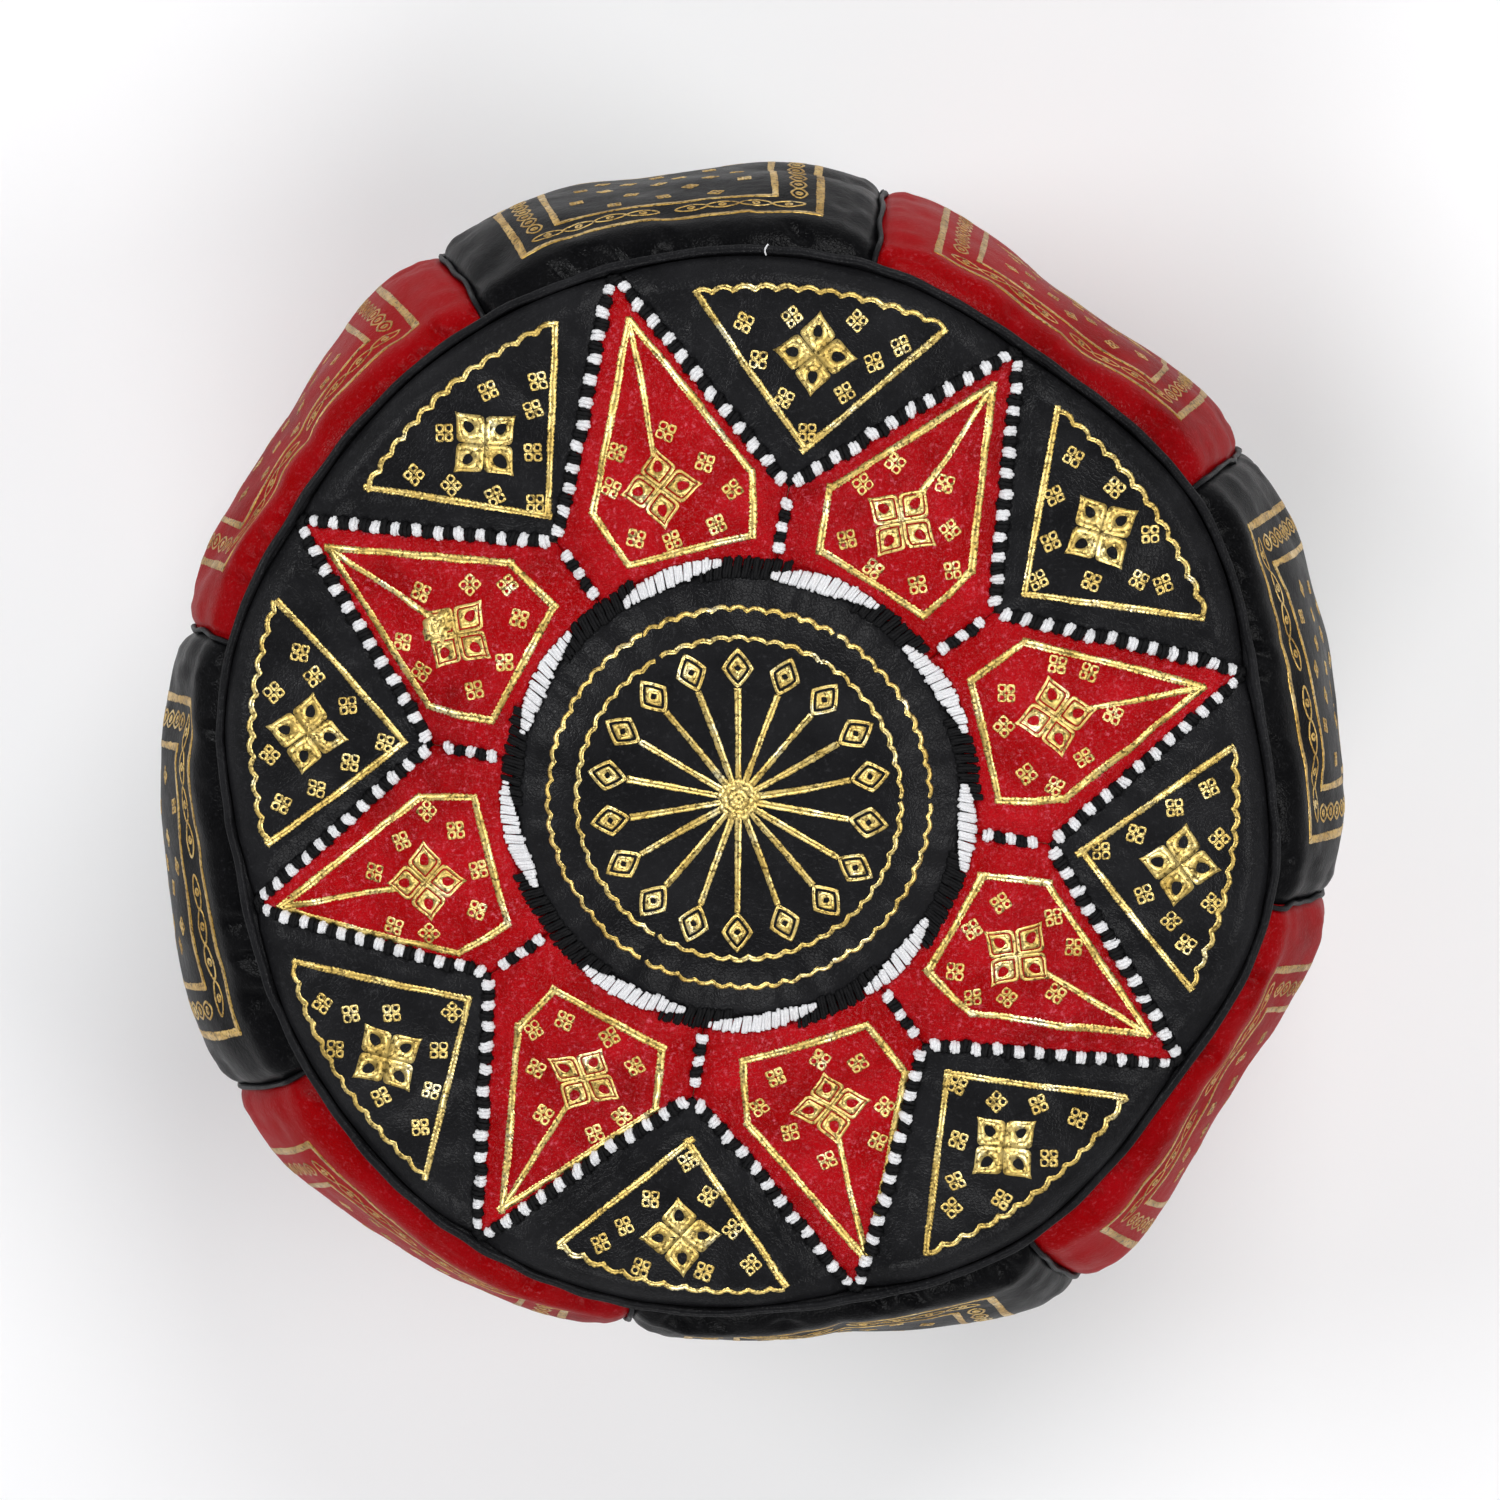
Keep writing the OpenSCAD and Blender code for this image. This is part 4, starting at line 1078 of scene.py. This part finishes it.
for r0, n, amp, seed in ((64.3, 54, 1.5, 540), (76.2, 66, 1.7, 541)):
    t = np.linspace(0, 2 * PI, 1400, endpoint=False)
    rr = r0 + amp * np.abs(np.sin(n * t / 2)) ** 0.8
    P = np.stack([rr * np.cos(t), rr * np.sin(t)], -1)
    for seg in range(6):                 # small breaks where the roller lifted
        lo, hi = int(seg * 1400 / 6 + g.integers(0, 5)), int((seg + 1) * 1400 / 6 + g.integers(-4, 5))
        idx = np.arange(lo, hi) % 1400
        parts.append(ribbon(ch, P[idx], 1.75, seed * 10 + seg, jag=0.25, step=0.65))
V, Q = join(parts)
mesh_piece("medallion_gold", V, Q, mat=GOLD, slot="gold_leaf")


# side panels
def pointed(lx, ly, k=24):
    t = np.arange(k) * 2 * PI / k
    c, s = np.cos(t), np.sin(t)
    r = 1 / (np.abs(c) ** 1.35 + np.abs(s) ** 1.9) ** (1 / 1.6)
    return np.stack([lx * c * r, ly * s * r], -1)


def circle(r, k=24):
    t = np.arange(k) * 2 * PI / k
    return np.stack([r * np.cos(t), r * np.sin(t)], -1)


for kk in range(8):
    g = np.random.default_rng(600 + kk)
    mid = math.radians(SIDE - 45 * kk - 22.5) + g.normal(0, 0.004)
    ch = on_side(mid)
    Rm = lambda y: (SX + SR * np.cos(SA * (1 - 2 * np.clip(y, 0, LSIDE) / LSIDE))) * PI / 180   # mm per degree
    F, T0, T1 = 15.8, 27.0, LSIDE - 27.0
    parts = []
    tl = np.linspace(T0, T1, 40)
    lines = []
    for inset, w in ((0.0, 3.3), (19.0, 2.7)):
        e = F - inset / 4.15
        a, b = T0 + inset, T1 - inset
        yy = np.linspace(a - 1.0, b + 1.0, 60)
        jx, jy = g.normal(0, 0.12), g.normal(0, 0.6)
        for sgn in (1, -1):
            parts.append(ribbon(ch, np.stack([np.full_like(yy, sgn * e + jx), yy + jy], -1), w, 700 + kk * 9 + int(inset) + sgn, sx=Rm))
        xx = np.linspace(-e - 0.25, e + 0.25, 60)
        for yv in (a, b):
            parts.append(ribbon(ch, np.stack([xx + jx, np.full_like(xx, yv + jy)], -1), w, 800 + kk * 9 + int(inset) + int(yv > 100), sx=Rm))
    # the chain band between the two frames
    outs, ins = [], []
    def link(cx, cy, lx, ly, turned):
        """cx in degrees, cy in mm; lx along the run."""
        mmd = Rm(cy)
        for o, i in ((pointed(lx, ly), pointed(lx - 1.15, ly - 1.05)), (circle(1.75), circle(0.55))):
            for lst, p in ((outs, o), (ins, i)):
                if turned:
                    p = p[:, ::-1]
                lst.append(np.stack([cx + p[:, 0] / mmd, cy + p[:, 1]], -1))
    for yv in (T0 + 9.6, T1 - 9.6):
        mmd = Rm(yv); span = (F * mmd - 6.0)
        step = (span - 3.2) / 4          # two runs of four links with a gap in the middle
        for q in range(8):
            xc = (1 if q > 3 else -1) * (3.2 + step * (q % 4 + 0.5))
            link((xc + g.normal(0, 0.25)) / mmd, yv + g.normal(0, 0.25), step / 2 * 1.05, 3.6, False)
    ys = np.arange(T0 + 22.0, T1 - 21.0, 10.4)
    for sgn in (1, -1):
        for q, yc in enumerate(ys):
            mmd = Rm(yc)
            link(sgn * (F - 9.6 / mmd) + g.normal(0, 0.05), yc + g.normal(0, 0.25), 5.4, 3.9, True)
    parts.append(annuli(ch, np.array(outs), np.array(ins)))
    # small stamps and flowers in the middle field
    fi = F - 19.0 / 4.15
    rows = np.linspace(T0 + 29.0, T1 - 29.0, 13)
    for q, yc in enumerate(rows):
        mmd = Rm(yc)
        sp = 23.0 / mmd
        row = (np.arange(-3, 4) + (0.5 if q % 2 else 0.0)) * sp
        for xc in row[np.abs(row) < fi - 1.2]:
            if abs(yc - LSIDE / 2) < 19:
                continue
            parts.append(flower(ch, xc + g.normal(0, 0.3), yc + g.normal(0, 1.2), 6.0, g.uniform(0, 1.57), "small", g, scale_x=1 / mmd))
    for xc, big in ((-7.2, 18.0), (0.0, 25.0), (7.2, 18.0)):
        parts.append(flower(ch, xc + g.normal(0, 0.06), LSIDE / 2 + g.normal(0, 0.4), big, PI / 4 + g.normal(0, 0.06), "double", g, scale_x=1 / Rm(LSIDE / 2)))
    V, Q = join(parts)
    # the gold on the sides is darkened with painted shade, the more so on the red panels
    mesh_piece(f"side_panel_{kk+1}_gold", V, Q, mat=GOLD_SIDE_SHADED if kk % 2 == 0 else GOLD_SIDE_DARK_SHADED, slot="gold_leaf")

# a loose end of white thread in the top seam
t = np.linspace(0, 1, 14)
C = place(math.radians(87.2) + 0.004 * np.sin(3 * t), 1.0, 0.0, rel=False) + np.stack([1.0 * t, -1.6 + 4.4 * t, 2.9 + 1.2 * np.sin(2.4 * t)], -1)
V, Q = tubes(C[None], np.broadcast_to(np.array([0, 0, 1.0]), C.shape)[None], np.full((1, 14), 0.34), 6)
mesh_piece("loose_thread_end", V, Q, mat=WHITE_T, slot="white_thread")

# ------------------------------------------------------------------ the zip's own solids keep their shape
for n, mt in (("zip_tape_front", TAPE), ("zip_tape_back", TAPE), ("zip_teeth_front", BRASS), ("zip_teeth_back", BRASS), ("zip_stops", BRASS), ("zip_slider", BRASS), ("zip_pull_tab", BRASS)):
    o = NODES[n]
    o.data.materials.clear(); o.data.materials.append(mt)
    "zip_tape" if "tape" in n else "brass"

# ------------------------------------------------------------------ floor, light and camera
def floor_material():
    m, nt, b, co = nodes_of("pale_floor", 0.9, spec=0.15)
    f = noise(nt, co, 3.0, 3); g = noise(nt, co, 240, 4)
    c = ramp(nt, f, [(0.3, (0.905, 0.908, 0.915)), (0.7, (0.925, 0.928, 0.935))])
    nt.links.new(c, b.inputs["Base Color"])
    nt.links.new(maprange(nt, f, 0.3, 0.7, 0.86, 0.94), b.inputs["Roughness"])
    bump(nt, b, [(g, 0.0001, 0.15)])
    return m


bpy.ops.mesh.primitive_plane_add(size=24, location=(0, 0, 0))
floor = bpy.context.object; floor.name = "floor"
floor.data.materials.append(floor_material())

scene = bpy.context.scene
scene.view_settings.view_transform = "Standard"
scene.view_settings.look = "None"
scene.view_settings.exposure = 0.0
w = bpy.data.worlds.new("studio"); scene.world = w; w.use_nodes = True
wt = w.node_tree; bg = wt.nodes["Background"]
wc = wt.nodes.new("ShaderNodeTexCoord"); wx = wt.nodes.new("ShaderNodeSeparateXYZ")
wt.links.new(wc.outputs["Generated"], wx.inputs[0])
wt.links.new(ramp(wt, wx.outputs[2], [(0.0, (0.80, 0.805, 0.815)), (0.10, (0.68, 0.685, 0.70)), (0.30, (0.26, 0.263, 0.27)), (0.75, (0.12, 0.122, 0.13)), (1.0, (0.05, 0.05, 0.055))]), bg.inputs[0])
bg.inputs[1].default_value = 1.0


def area_light(name, loc, target, size, power, color=(1, 1, 1)):
    d = bpy.data.lights.new(name, "AREA"); d.shape = "DISK"; d.size = size; d.energy = power; d.color = color
    o = bpy.data.objects.new(name, d); scene.collection.objects.link(o)
    o.location = loc
    o.rotation_mode = "QUATERNION"
    o.rotation_quaternion = (Vector(target) - Vector(loc)).to_track_quat("-Z", "Y")
    return o


area_light("key", (0.9, 2.45, 2.75), (0, 0, 0.1), 1.9, 64)
area_light("left", (-2.55, 0.9, 2.65), (0, 0, 0.1), 1.9, 55, (0.98, 0.99, 1.0))
area_light("right", (2.6, -0.3, 2.65), (0, 0, 0.1), 1.9, 44, (1.0, 0.995, 0.985))
area_light("low", (-0.4, -2.7, 2.6), (0, 0, 0.1), 1.9, 52)
# the bright middle of each softbox, which only shows as a sharp glint on gloss and gold
for glint, loc in (("key_glint", (0.9, 2.45, 2.75)), ("left_glint", (-2.5, 1.3, 2.6)), ("right_glint", (2.6, -0.3, 2.65)), ("low_glint", (-0.4, -2.7, 2.6))):
    o = area_light(glint, loc, (0, 0, 0.1), 0.34, 17)
    o.visible_diffuse = False

cam_d = bpy.data.cameras.new("camera"); cam = bpy.data.objects.new("camera", cam_d); scene.collection.objects.link(cam)
cam_d.sensor_width = 36.0; cam_d.lens = 110.5; cam_d.clip_start = 0.05; cam_d.clip_end = 60
C = Vector((0.0900, 0.2504, 2.1822)); T = Vector((0, 0, 0.2))
f = (T - C).normalized(); r = f.cross(Vector((0, 1, 0))).normalized(); u = r.cross(f)
aim = T - r * 0.00117 + u * 0.00456
f = (aim - C).normalized(); r = f.cross(Vector((0, 1, 0))).normalized(); u = r.cross(f)
rot = Matrix((r, u, -f)).transposed()
cam.location = C; cam.rotation_mode = "QUATERNION"; cam.rotation_quaternion = rot.to_quaternion()
cam_d.dof.use_dof = False
scene.camera = cam
